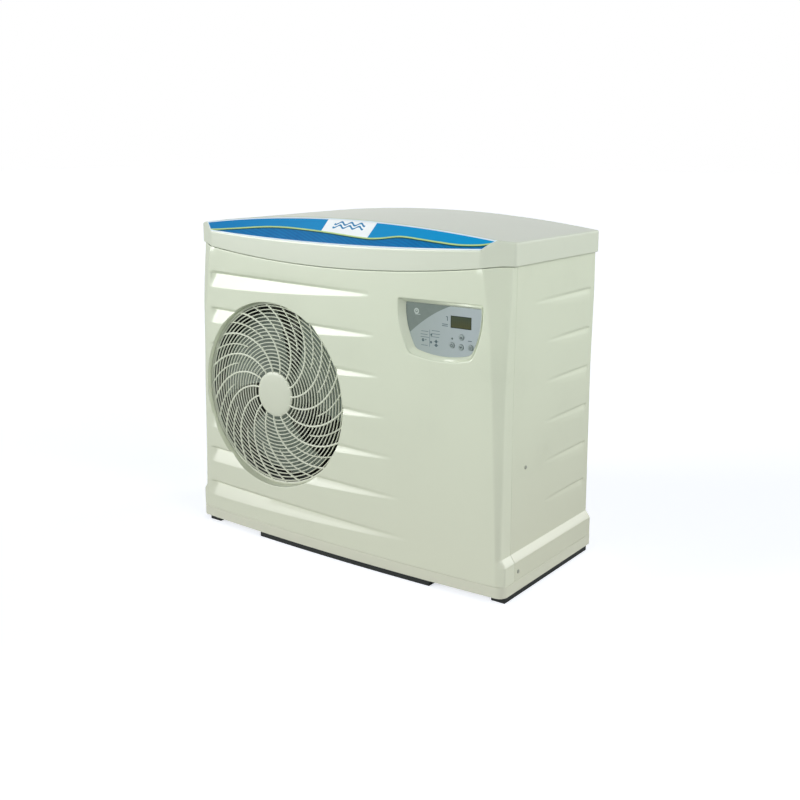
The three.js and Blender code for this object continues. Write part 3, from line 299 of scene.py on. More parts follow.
def front_flute(k, x):
    """Ends, upper edge, height and depth of front flute k, counted from the lowest, at x."""
    start, tip = -462 + 4 * k, 240 - 28.5 * k + 1.45 * k * k
    along = (x - start) / (tip - start)
    top = Z_BASE + FLUTE_FIRST + FLUTE_PITCH * k - FLUTE_FALL * (min(max(x, start), tip) - start)
    if not 0 < along < 1:
        return start, tip, top, FLUTE_TIP_TALL, 0
    taper = 1 - along**1.6
    deep = (FLUTE_DEEP + 0.2 * k) * min(1, along / FLUTE_RUN_IN) * taper**0.75
    return start, tip, top, FLUTE_TIP_TALL + FLUTE_TALL * taper, deep


def bend(a, b, c, count=4):
    """Points of a smooth turn from a to c round b."""
    a, b, c = (np.array(p, float) for p in (a, b, c))
    steps = np.linspace(0, 1, count + 1)
    return [tuple((1 - t) ** 2 * a + 2 * t * (1 - t) * b + t * t * c) for t in steps]


def rounded_over(distance, radius):
    """How far an edge has rolled over at a distance in from it."""
    if distance >= radius:
        return 0.0
    return radius - math.sqrt(max(0.0, radius**2 - (radius - max(0.0, distance)) ** 2))


RECESS_X, RECESS_TOP, RECESS_LOW = 322, 689, 561
RECESS_HALF_TOP, RECESS_HALF_LOW = 114, 87
RECESS_SAG = 11
CORNER_TOP, CORNER_LOW = 5, 13


def recess_outline(grow):
    """Rim of the control recess, or its foot if grow is -9: wide at the top, with rounded corners."""
    shift = RECESS_X - min(0, grow) / 3
    top, low = RECESS_TOP + grow, RECESS_LOW - grow
    narrow = RECESS_HALF_TOP - RECESS_HALF_LOW
    right = [
        (RECESS_HALF_TOP + grow - narrow * t**1.5 + 5 * math.sin(math.pi * t), top + (low - top) * t)
        for t in np.linspace(0, 1, 14)
    ]
    across = np.linspace(1, -1, 19)[1:-1]
    foot = [((RECESS_HALF_LOW + grow) * t, low - RECESS_SAG * (1 - t * t)) for t in across]
    left = [(-x, h) for x, h in reversed(right)]
    loop = [np.array(p, float) for p in right + foot + left]
    corners = [loop[0], loop[len(right) - 1], loop[-len(left)], loop[-1]]
    loop += [loop[-1] + (loop[0] - loop[-1]) * t for t in np.linspace(0, 1, 14)[1:-1]]
    for corner, radius in zip(corners, (CORNER_TOP, CORNER_LOW, CORNER_LOW, CORNER_TOP)):
        loop = softened(loop, corner, radius + grow * 0.3)
    return [(float(x) + shift, float(h) + Z_BASE) for x, h in loop]


def softened(loop, corner, radius):
    """The loop with its corner at a point replaced by a smooth turn."""
    far = [i for i, p in enumerate(loop) if np.linalg.norm(p - corner) > radius]
    near = [i for i, p in enumerate(loop) if np.linalg.norm(p - corner) <= radius]
    first = near[0]
    if 0 in near:
        first = next(i for i in near if i - 1 not in near and (i != 0 or len(loop) - 1 not in near))
    before = loop[(first - 1) % len(loop)]
    last = first
    while (last + 1) % len(loop) in near:
        last = (last + 1) % len(loop)
    after = loop[(last + 1) % len(loop)]
    start = corner + (before - corner) / np.linalg.norm(before - corner) * radius
    end = corner + (after - corner) / np.linalg.norm(after - corner) * radius
    order = [(last + 1 + i) % len(loop) for i in range(len(far))]
    return [loop[i] for i in order] + bend(start, corner, end, 6)


def inside(outline, spots):
    """For each spot, whether it lies within the outline."""
    found = np.zeros(len(spots), bool)
    for (x0, z0), (x1, z1) in zip(outline, outline[1:] + outline[:1]):
        if z0 == z1:
            continue
        level = (z0 > spots[:, 1]) != (z1 > spots[:, 1])
        found ^= level & (spots[:, 0] < (x1 - x0) * (spots[:, 1] - z0) / (z1 - z0) + x0)
    return found


def cut_sheet(border, holes, lines, filling):
    """A flat sheet of triangles within the border and outside the holes, that follows every line."""
    spots, edges = [], []
    for line, closed in [(border, True)] + [(h, True) for h in holes] + lines:
        first = len(spots)
        spots += [Vector(p) for p in line]
        edges += [(first + i, first + i + 1) for i in range(len(line) - 1)]
        if closed:
            edges.append((first + len(line) - 1, first))
    spots += [Vector(p) for p in filling]
    found, _, faces = delaunay_2d_cdt(spots, edges, [], 0, 1e-4)[:3]
    flat = np.array([tuple(p) for p in found])
    middles = flat[np.array(faces)].mean(1)
    keep = inside(border, middles)
    for hole in holes:
        keep &= ~inside(hole, middles)
    return flat, [f for f, k in zip(faces, keep) if k]


def pick(*pieces):
    """Selects these pieces only, with the first as the active one."""
    bpy.ops.object.select_all(action="DESELECT")
    for piece in pieces:
        piece.select_set(True)
    bpy.context.view_layer.objects.active = pieces[0]


def put_in(name, mesh):
    """Adds a piece with the mesh to the scene, and picks it."""
    piece = bpy.data.objects.new(name, mesh)
    bpy.context.scene.collection.objects.link(piece)
    pick(piece)
    return piece


def new_piece(name, points, faces):
    """A mesh piece from points in millimetres."""
    mesh = bpy.data.meshes.new(name)
    mesh.from_pydata([at(*p) for p in points], [], faces)
    return put_in(name, mesh)


def merge_doubles(apart):
    """Joins the points of the picked piece that lie closer than apart, and points its faces out."""
    bpy.ops.object.mode_set(mode="EDIT")
    bpy.ops.mesh.select_all(action="SELECT")
    bpy.ops.mesh.remove_doubles(threshold=apart)
    bpy.ops.mesh.dissolve_degenerate(threshold=SLIVER)
    bpy.ops.mesh.select_all(action="SELECT")
    bpy.ops.mesh.normals_make_consistent(inside=False)
    bpy.ops.mesh.select_all(action="DESELECT")
    bpy.ops.object.mode_set(mode="OBJECT")


SLIVER, DOUBLE, RIM_DOUBLE = 0.000005, 0.00001, 0.00004


def give_wall(piece, thickness, offset=-1):
    """Thickens the picked sheet to a wall, in millimetres, behind its face."""
    thick = piece.modifiers.new("wall", "SOLIDIFY")
    thick.thickness, thick.offset = thickness / 1000, offset
    bpy.ops.object.modifier_apply(modifier="wall")


def finish_piece(piece, look, body, stands_for=None, wall=0, angle=32):
    """Joins and turns faces, gives a sheet its wall, smooths it and fixes it to its body."""
    pick(piece)
    merge_doubles(DOUBLE)
    if wall:
        give_wall(piece, wall)
    piece.data.materials.clear()
    piece.data.materials.append(look)
    bpy.ops.object.shade_smooth_by_angle(angle=math.radians(angle))
    even = piece.modifiers.new("even", "WEIGHTED_NORMAL")
    even.keep_sharp = True
    bpy.ops.object.modifier_apply(modifier="even")
    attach(piece, body)
    if stands_for:
        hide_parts(stands_for)


def wall_heights(top):
    """Heights above the base that the wrapped corners and the panel's straight edges share."""
    foot = [FOOT_EDGE, 28.7, 29.5, 40, 56, 73.5, 75.5, 83.5, 90.5, 92, 94, 104]
    kinks = [311, 389, 475, 482, 615, 677]
    plain = [h for h in np.arange(118, top - 8, 14) if min(abs(h - k) for k in kinks) > 4]
    return foot + sorted(plain + kinks)


# The straight side edges end where they meet the curved seam, which takes a few rounds to find.
CORNER_TURN = 3
SEAM_GAP, SEAM_ROLL = 0.9, 2.6
FOOT_EDGE, FOOT_ROLL = 28.3, 1.2
edge_top = 772.3
for _ in range(4):
    edge_top = seam_z(corner_x(edge_top) - CORNER_TURN) - SEAM_GAP - Z_BASE
panel_heights = wall_heights(edge_top) + [edge_top - d for d in (SEAM_ROLL, 1.7, 0.9, 0.3, 0)]
right_edge = [(corner_x(h) - CORNER_TURN, h + Z_BASE) for h in panel_heights]
top_reach = right_edge[-1][0]
seam_xs = np.linspace(top_reach, -top_reach, 88)
seam_edge = [(x, seam_z(x) - SEAM_GAP) for x in seam_xs[1:-1]]
foot_xs = np.linspace(-right_edge[0][0], right_edge[0][0], 80)[1:-1]
foot_edge = [(x, Z_BASE + FOOT_EDGE) for x in foot_xs]
panel_border = right_edge + seam_edge + [(-x, z) for x, z in reversed(right_edge)] + foot_edge

RIM = 1.6
RECESS_RIM = 3.6


def circle(x, z, r, count=28):
    """Points of a circle on the front."""
    return [
        (x + r * math.cos(2 * math.pi * i / count), z + r * math.sin(2 * math.pi * i / count))
        for i in range(count)
    ]


opening_rings = [circle(FAN_X, FAN_Z, OPENING_R + g, 168) for g in (0, 0.15, 0.5, 1.0, RIM)]
recess_rings = [recess_outline(g) for g in (0, 0.3, 1.0, 2.0, RECESS_RIM)]

flute_lines = []
for k in range(FLUTE_COUNT):
    start, tip = front_flute(k, 0)[:2]
    ramp = start + FLUTE_RUN_IN * (tip - start)
    xs = sorted([start, ramp, tip, (start + ramp) / 2] + list(np.arange(ramp + 10, tip - 5, 11)) + [tip - 2])
    rows = [[] for _ in range(9)]
    for x in xs:
        _, _, top, tall, _ = front_flute(k, min(max(x, start + 0.01), tip - 0.01))
        marks = FLUTE_MARKS + [tall * 0.5 + 0.5, tall - FLUTE_ROUND, tall, tall + FLUTE_ROUND]
        for row, mark in zip(rows, marks):
            row.append((x, top - mark))
    flute_lines += [(row, False) for row in rows]
    for i in (0, 1, 2):
        flute_lines.append(([row[i] for row in rows], False))
seam_depths, foot_depths = (0.3, 0.9, 1.7, SEAM_ROLL), (0.4, FOOT_ROLL)
near_seam = [([(x, seam_z(x) - SEAM_GAP - d) for x in seam_xs[2:-2]], False) for d in seam_depths]
near_foot = [([(x, Z_BASE + FOOT_EDGE + d) for x, _ in foot_edge], False) for d in foot_depths]

# Plain stretches are filled with an even net of points that keeps off every edge and flute.
filling = []
for z in np.arange(Z_BASE + 44, Z_SEAM - 10, 14):
    for x in np.arange(-450, 451, 13):
        if z > seam_z(x) - 8 or abs(x) > corner_x(z - Z_BASE) - 9:
            continue
        if math.hypot(x - FAN_X, z - FAN_Z) < OPENING_R + 6 or (196 < x < 448 and 550 < z < 716):
            continue
        gap = min(
            max(z - top - 6, top - tall - 3 - z) if start - 4 < x < tip + 4 else 99
            for start, tip, top, tall, _ in (front_flute(k, x) for k in range(FLUTE_COUNT))
        )
        if gap > 3:
            filling.append((x, z))
for grow in (9, 18):
    filling += [p for p in recess_outline(grow)[::2] if p[0] < corner_x(p[1] - Z_BASE) - 8]

flat, panel_faces = cut_sheet(
    panel_border,
    [opening_rings[0], recess_rings[0]],
    [(r, True) for r in opening_rings[1:] + recess_rings[1:]] + flute_lines + near_seam + near_foot,
    filling,
)


def from_outline(outline, x, z):
    """Distance from a spot to an outline."""
    line = np.array(outline + outline[:1])
    a, b = line[:-1], line[1:]
    t = np.clip((((x, z) - a) * (b - a)).sum(1) / ((b - a) ** 2).sum(1), 0, 1)
    return float(np.hypot(*(a + (b - a) * t[:, None] - (x, z)).T).min())


def front_surface(x, z):
    """Depth of the front panel's face at a place, with its flutes and rolled rims."""
    y = front_bow(x)
    for k in range(FLUTE_COUNT):
        _, _, top, tall, deep = front_flute(k, x)
        if deep and top - tall - 3 < z < top + 7:
            y += flute_cut(top - z, tall, deep)
    ring = math.hypot(x - FAN_X, z - FAN_Z) - OPENING_R
    if ring < RIM:
        y += rounded_over(ring, RIM)
    if 190 < x < 452 and 540 < z < 722:
        rim = from_outline(recess_rings[0], x, z)
        if rim < RECESS_RIM:
            y += rounded_over(rim, RECESS_RIM)
    y += rounded_over(seam_z(x) - SEAM_GAP - z, SEAM_ROLL)
    y += rounded_over(z - Z_BASE - FOOT_EDGE, FOOT_ROLL)
    return y


panel_points = [(x, front_surface(x, z), z) for x, z in flat]


def grid_faces(first, rows, columns):
    """Faces of a grid of points that were added row by row."""
    return [
        (first + r * columns + c, first + r * columns + c + 1,
         first + (r + 1) * columns + c + 1, first + (r + 1) * columns + c)
        for r in range(rows - 1)
        for c in range(columns - 1)
    ]


WRAP = 52
for side in (1, -1):
    first = len(panel_points)
    strip = []
    for h in panel_heights:
        x0, x1 = corner_x(h), HALF - side_inset(h)
        inner = np.array([x0, front_bow(x0)])
        outer = np.array([x1, corner_y(h)])
        way = (outer - inner) / np.linalg.norm(outer - inner)
        roll = rounded_over(h - FOOT_EDGE, FOOT_ROLL)
        row = bend((x0 - CORNER_TURN, front_bow(x0 - CORNER_TURN)), inner, inner + way * 5)
        row += [inner + (outer - inner) * 0.5]
        row += bend(outer - way * 5, outer, (x1, outer[1] + 5), 5)
        row += [(x1, (outer[1] + 5 + WRAP) / 2), (x1, WRAP - 1.4), (x1 - 0.1, WRAP - 0.5), (x1 - 0.5, WRAP)]
        near_top = h >= edge_top - SEAM_ROLL - 0.1
        inward = roll + (rounded_over(edge_top - h, SEAM_ROLL) if near_top else 0)
        for i, (x, y) in enumerate(row):
            share = i / len(row)
            z = seam_z(x) - SEAM_GAP - (edge_top - h) if near_top else h + Z_BASE
            strip.append((side * (x - inward * share), y + inward * (1 - share), z))
    columns = len(row)
    panel_points += strip
    panel_faces += grid_faces(first, len(panel_heights), columns)

front = new_piece("front_moulding", panel_points, panel_faces)
merge_doubles(RIM_DOUBLE)


def in_millimetres(spot):
    """A place in the frame as at() takes it."""
    return spot.x * 1000, (spot.y - FRONT_FACE) * 1000, spot.z * 1000


def select_rim(piece, test):
    """Selects the open edges of a piece whose middle passes a test, in millimetres."""
    uses = {}
    for face in piece.data.polygons:
        for key in face.edge_keys:
            uses[key] = uses.get(key, 0) + 1
    for part in list(piece.data.vertices) + list(piece.data.polygons):
        part.select = False
    for edge in piece.data.edges:
        middle = sum((piece.data.vertices[i].co for i in edge.vertices), Vector()) / 2
        edge.select = uses.get(tuple(sorted(edge.vertices)), 0) == 1 and test(*in_millimetres(middle))


def draw_in(piece, place):
    """Extrudes the selected rim and puts each new point where place says."""
    bpy.ops.object.mode_set(mode="EDIT")
    bpy.ops.mesh.select_mode(type="EDGE")
    bpy.ops.mesh.extrude_edges_move()
    bpy.ops.mesh.select_mode(type="VERT")
    bpy.ops.object.mode_set(mode="OBJECT")
    for v in piece.data.vertices:
        if v.select:
            v.co = at(*place(*in_millimetres(v.co)))


def opening_ring(radius, y):
    """Where the points of a ring round the fan opening go."""

    def place(x, _, z):
        a = math.atan2(z - FAN_Z, x - FAN_X)
        return FAN_X + radius * math.cos(a), y, FAN_Z + radius * math.sin(a)

    return place


LIP_Y = 12.3
LIP_R = 240
select_rim(front, lambda x, y, z: math.hypot(x - FAN_X, z - FAN_Z) < OPENING_R + 1)
for radius, y in ((247.6, -0.6), (247, 0), (LIP_R + 1, 0), (LIP_R + 0.2, 0.6), (LIP_R, 4)):
    draw_in(front, opening_ring(radius, LIP_Y + y))

PANEL_FLOOR = 2.6
WALL = 2.6


def recess_ring(before, share, y):
    """Where the recess wall's next ring goes: each point moves on from the rim towards the foot."""
    rim, foot = np.array(recess_rings[0]), np.array(recess_outline(-9))
    now, new = rim + (foot - rim) * before, rim + (foot - rim) * share

    def place(x, _, z):
        nearest = new[np.argmin(np.hypot(*(now - (x, z)).T))]
        return nearest[0], y, nearest[1]

    return place


select_rim(front, lambda x, y, z: 190 < x < 452 and 540 < z < 712 and abs(y) < 20)
before = 0
for share, y in ((0.5, -4), (0.93, 1.2), (1.0, 2.2), (1.0, PANEL_FLOOR + 1)):
    draw_in(front, recess_ring(before, share, y))
    before = share
finish_piece(front, cream, "cabinet", "front_panel", wall=WALL)

# ---------------------------------------------------------------- side panels
# Each side is a separate cream moulding with six shallow flutes that run forward from the rear,
# a ledge at its foot and a turned-in rear edge; one screw holds it low down.
FLUTE_START = 425
SIDE_FLUTES, SIDE_FLUTE_FIRST, SIDE_FLUTE_PITCH = 6, 183, 100.6
SIDE_FLUTE_TALL, SIDE_FLUTE_DEEP, SIDE_FLUTE_CURVE = 23, 5, 2.2
FLANGE_END = 465.6


def side_flute(k, y):
    """Upper edge, height and depth of side flute k at y: the uppermost reaches further forward."""
    tip = 130 if k == SIDE_FLUTES - 1 else 205
    along = (FLUTE_START - y) / (FLUTE_START - tip)
    top = SIDE_FLUTE_FIRST + SIDE_FLUTE_PITCH * k
    if not 0 < along < 1:
        return top, FLUTE_TIP_TALL, 0
    taper = 1 - along**1.6
    deep = SIDE_FLUTE_DEEP * min(1, along / FLUTE_RUN_IN) * taper**0.8
    return top, FLUTE_TIP_TALL + SIDE_FLUTE_TALL * taper, deep


def side_rows(y):
    """Height and depth of every row of a side panel at y."""
    rows = [(FOOT_EDGE, 1.0), (28.8, 0.3), (29.6, 0)]
    rows += [(h, 0) for h in (50, 73.5, 75.5, 83.5, 90.5, 92, 94, 120)]
    for k in range(SIDE_FLUTES):
        top, tall, deep = side_flute(k, y)
        foot = tall - FLUTE_ROUND
        marks = [tall + FLUTE_ROUND, tall, foot]
        marks += [STEP_LAST + (foot - STEP_LAST) * s for s in (0.6, 0.38, 0.18)]
        marks += FLUTE_MARKS[::-1]
        rows += [(top - m, flute_cut(m, tall, deep, SIDE_FLUTE_CURVE)) for m in marks]
        rows += [(top + d, 0) for d in ((26, 48) if k < SIDE_FLUTES - 1 else (30, 60, 80, 88, 89))]
    rows += [(775.4, 0), (776.6, 0.4), (777.4, 1.2), (777.7, 2.2)]
    return rows


side_ys = [WRAP + 0.3, WRAP + 0.6, WRAP + 1.2, WRAP + 2.2, 66, 80, 95, 110, 122, 128, 130, 134]
side_ys += list(np.arange(145, 200, 12)) + [203, 205, 209] + list(np.arange(220, 410, 12))
side_ys += [413, 418.4, 421.7, FLUTE_START, 428, 436]
SIDE_ROLL = {WRAP + 0.3: 0.6, WRAP + 0.6: 0.25, WRAP + 1.2: 0.05}
REAR_EDGE = CABINET_DEEP - 2
# The side panels take a copy of the casing finish that turns darker and warmer towards the bottom more
# strongly than the front does.
side_cream = moulded("cream_sides", CREAM, low=(0.86, 0.8, 0.81))
rear_turn = bend((0, 440), (0, REAR_EDGE), (-3, REAR_EDGE)) + [(None, REAR_EDGE)]
for name, side in (("right", 1), ("left", -1)):
    points = []
    for y in side_ys:
        for h, deep in side_rows(y):
            x = HALF - side_inset(h) - deep - SIDE_ROLL.get(y, 0)
            points.append((side * x, y, h + Z_BASE))
    for dx, y in rear_turn:
        for h, deep in side_rows(side_ys[-1]):
            x = FLANGE_END if dx is None else HALF - side_inset(h) - deep + dx
            points.append((side * x, y, h + Z_BASE))
    rows = len(side_rows(side_ys[-1]))
    panel = new_piece(f"side_moulding_{name}", points, grid_faces(0, len(points) // rows, rows))
    mid = len(side_ys) * rows // 2
    finish_piece(panel, side_cream, "cabinet", f"side_panel_{name}")
    if panel.data.polygons[mid].normal.x * side < 0:
        panel.data.flip_normals()
    give_wall(panel, WALL)

# ---------------------------------------------------------------- lid
# One cream moulding with an arched top, cut corners and a slanted fascia along its front edge.
# It drops over the panels with a thin gap all round.
lid_cream = moulded("lid_cream", srgb(211, 218, 199), rough=0.3)

LID_CUT_X, LID_CUT_Y = 430, 34
LID_TOP, LID_ARCH = 845, 35
FASCIA_LOW, FASCIA_SAG = 829, 15
FASCIA_BACK, FASCIA_MORE = 18, 12


def vault_z(x):
    """Height of the lid's arched top at x."""
    return LID_TOP + LID_ARCH * (1 - (x / HALF) ** 2)


def fascia(x, t, out=0.0):
    """A point of the slanted fascia: t is 0 at its lower edge and 1 at its upper edge."""
    low = FASCIA_LOW - FASCIA_SAG * smile(x)
    back = FASCIA_BACK + FASCIA_MORE * smile(x)
    return x, front_bow(x) + back * t - out, low + (vault_z(x) - low) * t


def lid_plan():
    """The lid's outline seen from above, from its rear left corner round the front."""
    knee = (LID_CUT_X, front_bow(LID_CUT_X))
    heel = (HALF, LID_CUT_Y)
    way = np.array([heel[0] - knee[0], heel[1] - knee[1]]) / math.dist(heel, knee)
    half = [(x, front_bow(x)) for x in np.linspace(0, LID_CUT_X - 6, 44)]
    half += bend(half[-1], knee, knee + way * 6)[1:]
    half += [tuple(knee + way * s) for s in np.linspace(10, math.dist(heel, knee) - 10, 14)]
    half += bend(heel - way * 6, heel, (HALF, LID_CUT_Y + 6), 5)
    half += [(HALF, y) for y in np.linspace(60, 420, 19)]
    half += bend((HALF, CABINET_DEEP - 9), (HALF, CABINET_DEEP), (HALF - 9, CABINET_DEEP), 5)
    half += [(x, CABINET_DEEP) for x in np.linspace(470, 0, 24)]
    half = [(float(x), float(y)) for x, y in half]
    return half + [(-x, y) for x, y in reversed(half[1:-1])]


LID_ROLL = 4
plan = lid_plan()
columns = []
for i, (x, y) in enumerate(plan):
    before, after = plan[i - 1], plan[(i + 1) % len(plan)]
    along = np.array([after[0] - before[0], after[1] - before[1]])
    nx, ny = -along[1] / np.hypot(*along), along[0] / np.hypot(*along)
    in_front = y < LID_CUT_Y + 2
    low_z = seam_z(x) if in_front else Z_SEAM
    _, fy, fz = fascia(x, 0)
    _, ty, tz = fascia(x, 1)
    cut = (y - fy) / (ty - fy) if in_front else 1
    column = [(2.2, low_z), (1.1, low_z + 0.35), (0.35, low_z + 1.0), (0, low_z + 2.1)]
    if cut < 0.999:
        cut = max(0, cut)
        knee = (y, fz + (tz - fz) * cut)
        size = math.dist(knee, (ty, tz))
        way = ((ty - knee[0]) / size, (tz - knee[1]) / size)
        turn = min(3, size * 0.4)
        yz = [(y, (low_z + knee[1]) / 2)]
        yz += bend((y, knee[1] - turn), knee, (knee[0] + way[0] * turn, knee[1] + way[1] * turn))
        yz += [(knee[0] + way[0] * size / 2, knee[1] + way[1] * size / 2)]
        yz += bend((ty - way[0] * turn, tz - way[1] * turn), (ty, tz), (ty + 3, tz))
        spots = [(x + nx * d, y + ny * d, z) for d, z in column] + [(x, b, z) for b, z in yz]
    else:
        start = tz - LID_ROLL
        column += [(0, (low_z + start) / 2)] + [(0, start - d) for d in (6, 4.8, 3.6, 2.4, 1.2, 0.6)]
        column += bend((0, start), (0, tz), (LID_ROLL, tz))
        spots = [(x + nx * d, y + ny * d, z) for d, z in column]
    columns.append(spots)
lid_points = [p for spots in columns + columns[:1] for p in spots]
lid_faces = grid_faces(0, len(columns) + 1, len(columns[0]))
top_fill = [(x, y) for y in np.arange(50, 435, 24) for x in np.arange(-480, 481, 24)]
flat, faces = cut_sheet([spots[-1][:2] for spots in columns], [], [], top_fill)
first = len(lid_points)
lid_points += [(x, y, vault_z(x)) for x, y in flat]
lid_faces += [tuple(first + i for i in f) for f in faces]
lid = new_piece("lid_moulding", lid_points, lid_faces)
finish_piece(lid, lid_cream, "cabinet", "lid", wall=WALL)

# ---------------------------------------------------------------- printed film on the fascia
# A polyester film, printed in two blues parted by a yellow-green line, with a white margin and
# a white tag that holds a plain double wave; it is glued to the lid.
LINE_PLACES = [-480, -460, -362, -215, -42, 110, 148, 204, 258, 314, 376, 430, 462, 490]
LINE_HEIGHTS = [0.02, 0.08, 0.35, 0.557, 0.486, 0.349, 0.385, 0.505, 0.47, 0.398, 0.338, 0.46, 0.75, 0.95]


def line_height(x):
    """Height of the printed line across the film, as a smooth curve through its bends."""
    i = int(np.clip(np.searchsorted(LINE_PLACES, x) - 1, 1, len(LINE_PLACES) - 3))
    (x0, x1, x2, x3), (a, b, c, d) = LINE_PLACES[i - 1 : i + 3], LINE_HEIGHTS[i - 1 : i + 3]
    s = (x - x1) / (x2 - x1)
    rise, fall = (c - a) / (x2 - x0) * (x2 - x1), (d - b) / (x3 - x1) * (x2 - x1)
    swing = rise * (s**3 - 2 * s**2 + s) + fall * (s**3 - s**2)
    return b * (2 * s**3 - 3 * s**2 + 1) + c * (3 * s**2 - 2 * s**3) + swing


FILM_COLUMNS, FILM_ROWS = 121, 13
FILM_HALF, FILM_WIDER, FILM_EDGE = 428, 34, 0.03
film_points, film_map = [], []
for t in np.linspace(FILM_EDGE, 1 - FILM_EDGE, FILM_ROWS):
    reach = FILM_HALF + FILM_WIDER * t
    for x in np.linspace(-reach, reach, FILM_COLUMNS):
        film_points.append(fascia(x, t, 0.8))
        tall = fascia(x, 1)[2] - fascia(x, 0)[2]
        film_map.append({
            "print_place": (x / 1000, (t - line_height(x)) * tall / 1000),
            "print_edge": (min(t - FILM_EDGE, 1 - FILM_EDGE - t) * tall / 1000, (reach - abs(x)) / 1000),
            "print_height": (t, t),
        })
film = new_piece("lid_film", film_points, grid_faces(0, FILM_ROWS, FILM_COLUMNS))
for name in film_map[0]:
    layer = film.data.uv_layers.new(name=name)
    for loop in film.data.loops:
        layer.data[loop.index].uv = film_map[loop.vertex_index][name]

printed, ink, spot, shader = blank_look("printed_film")
(across, above, _), (margin, tip, _), (height, _, _) = (
    ink.node("ShaderNodeUVMap", {"uv_map": name}).parts() for name in film_map[0]
)
tone = ink.node("ShaderNodeTexNoise", {}, {"Vector": spot, "Scale": 30, "Detail": 2})
upper = (across + 0.5).blend(srgb(6, 122, 184), srgb(14, 152, 208))
swell = (across * 260 + above * 900).maths("SINE")
ripple = (tone * 0.5 + swell * 0.16 + 0.1).blend(srgb(0, 96, 156), srgb(0, 130, 190))
blue = above.between(0, 1, 0.0004).blend(ripple, upper)
blue = above.between(-0.0044, -0.0012, 0.0006).blend(blue, srgb(8, 74, 84))
blue = above.between(-0.0016, 0.0014, 0.0005).blend(blue, srgb(190, 218, 136))
lean = across - (height - 0.45) * 0.031
tag = lean.between(-0.040, 0.112, 0.0004) * above.between(0.0011, 1, 0.0003)
wave = (lean * 210).maths("SINE") * 0.05
strokes = lean.between(-0.012, 0.084, 0.0004) * (
    (height - wave).between(0.66, 0.72, 0.006) + (height - wave).between(0.78, 0.84, 0.006)
)
blue = tag.blend(blue, srgb(246, 250, 250))
blue = (strokes * tag).blend(blue, srgb(40, 130, 178))
white = margin.between(-1, 0.0029, 0.0004) + tip.between(-1, 0.0016, 0.0004)
white = white.maths("MINIMUM", white, 1)
feed(printed, white.blend(blue, srgb(236, 250, 255)), "Base Color")
feed(printed, tone * 0.1 + 0.27, "Roughness")
shader["Specular IOR Level"].default_value = 0.12
finish_piece(film, printed, "cabinet", "lid_label")
if film.data.polygons[0].normal.y > 0:
    film.data.flip_normals()
give_wall(film, 0.3)

# ---------------------------------------------------------------- base tray
# A deep cream moulded tray with a rounded rim that carries the whole unit and catches condensate.
# The panels stand on its rim, and strips of black rubber lie under its sides and its front.
base_cream = moulded("base_cream", srgb(208, 214, 193), rough=0.42)
TRAY_CORNER = 22


def tray_outline(inset):
    """The tray's outline seen from above, at a distance inside its outer face."""
    x0, radius = HALF - TRAY_CORNER, TRAY_CORNER - inset
    side_x, rear_y = HALF - inset, CABINET_DEEP - inset
    right = bend((side_x - 5, rear_y), (side_x, rear_y), (side_x, rear_y - 5))
    right += [
        (x0 + radius * math.cos(a), TRAY_CORNER - radius * math.sin(a) + front_bow(x0))
        for a in np.linspace(0, math.pi / 2, 10)
    ]
    bow = [(x, front_bow(x) + inset) for x in np.linspace(466, -466, 60)]
    return right + bow + [(-x, y) for x, y in reversed(right)]


def hoop_faces(hoops, count):
    """Faces between closed hoops of points that were added hoop by hoop."""
    return [
        (r * count + i, r * count + (i + 1) % count, (r + 1) * count + (i + 1) % count, (r + 1) * count + i)
        for r in range(hoops - 1)
        for i in range(count)
    ]


def end_faces(hoops, count):
    """The faces that close the first and the last hoop."""
    return [tuple(range(count)), tuple(range((hoops - 1) * count, hoops * count))]


TRAY_RIM = [(8, 13), (1.2, 13.2), (0.3, 13.8), (0, 15), (0, 39), (0.4, 40.3), (1.4, 41), (5.5, 41), (6, 40.6)]
TRAY_FLOOR = [(6, 22), (7, 21), (30, 21)]
tray_rings = TRAY_RIM + TRAY_FLOOR
tray_points = [(float(x), float(y), z) for inset, z in tray_rings for x, y in tray_outline(inset)]
count = len(tray_outline(0))
tray_faces = end_faces(len(tray_rings), count) + hoop_faces(len(tray_rings), count)
tray = new_piece("base_moulding", tray_points, tray_faces)
finish_piece(tray, base_cream, "cabinet", "base_tray")

# ---------------------------------------------------------------- fan grille
# A domed cream finger guard, moulded in one: thin rings, fifteen long swirled spokes with a short one
# between each pair, and a plain round boss. It rests on the ledge inside the front opening.
GRILLE_FRONT = 9
GRILLE_RISE = 7


def grille_y(r):
    """How far back the domed grille lies at a radius."""
    return GRILLE_FRONT - GRILLE_RISE * (1 - (r / OPENING_R) ** 2)


def spun(name, profile, place, way=(0, 1, 0), steps=72):
    """A profile of [radius, distance along the axis] turned round an axis through a place."""
    way = Vector(way).normalized()
    side = way.orthogonal().normalized()
    center = at(*place)
    mesh = bpy.data.meshes.new(name)
    steps_along = [(i, i + 1) for i in range(len(profile) - 1)]
    mesh.from_pydata([center + (side * r + way * d) / 1000 for r, d in profile], steps_along, [])
    piece = put_in(name, mesh)
    bpy.ops.object.mode_set(mode="EDIT")
    bpy.ops.mesh.select_all(action="SELECT")
    bpy.ops.mesh.spin(steps=steps, angle=2 * math.pi, center=center, axis=way)
    bpy.ops.object.mode_set(mode="OBJECT")
    merge_doubles(DOUBLE)
    return piece


def join_pieces(name, pieces):
    """Makes one piece of several."""
    pick(*pieces)
    bpy.ops.object.join()
    pieces[0].name = name
    return pieces[0]


FAN_AXIS = (FAN_X, 0, FAN_Z)


def grille_ring(r, wide, deep):
    """A thin ring with a rounded front, at its place on the dome."""
    y = grille_y(r)
    h = wide / 2
    nose = [(r - h, 0.8), (r - h / 2, 0.15), (r + h / 2, 0.15), (r + h, 0.8)]
    outline = [(r - h, deep)] + nose + [(r + h, deep), (r - h, deep)]
    return spun(f"ring_{r:.0f}", [(a, y + d) for a, d in outline], FAN_AXIS, steps=96)


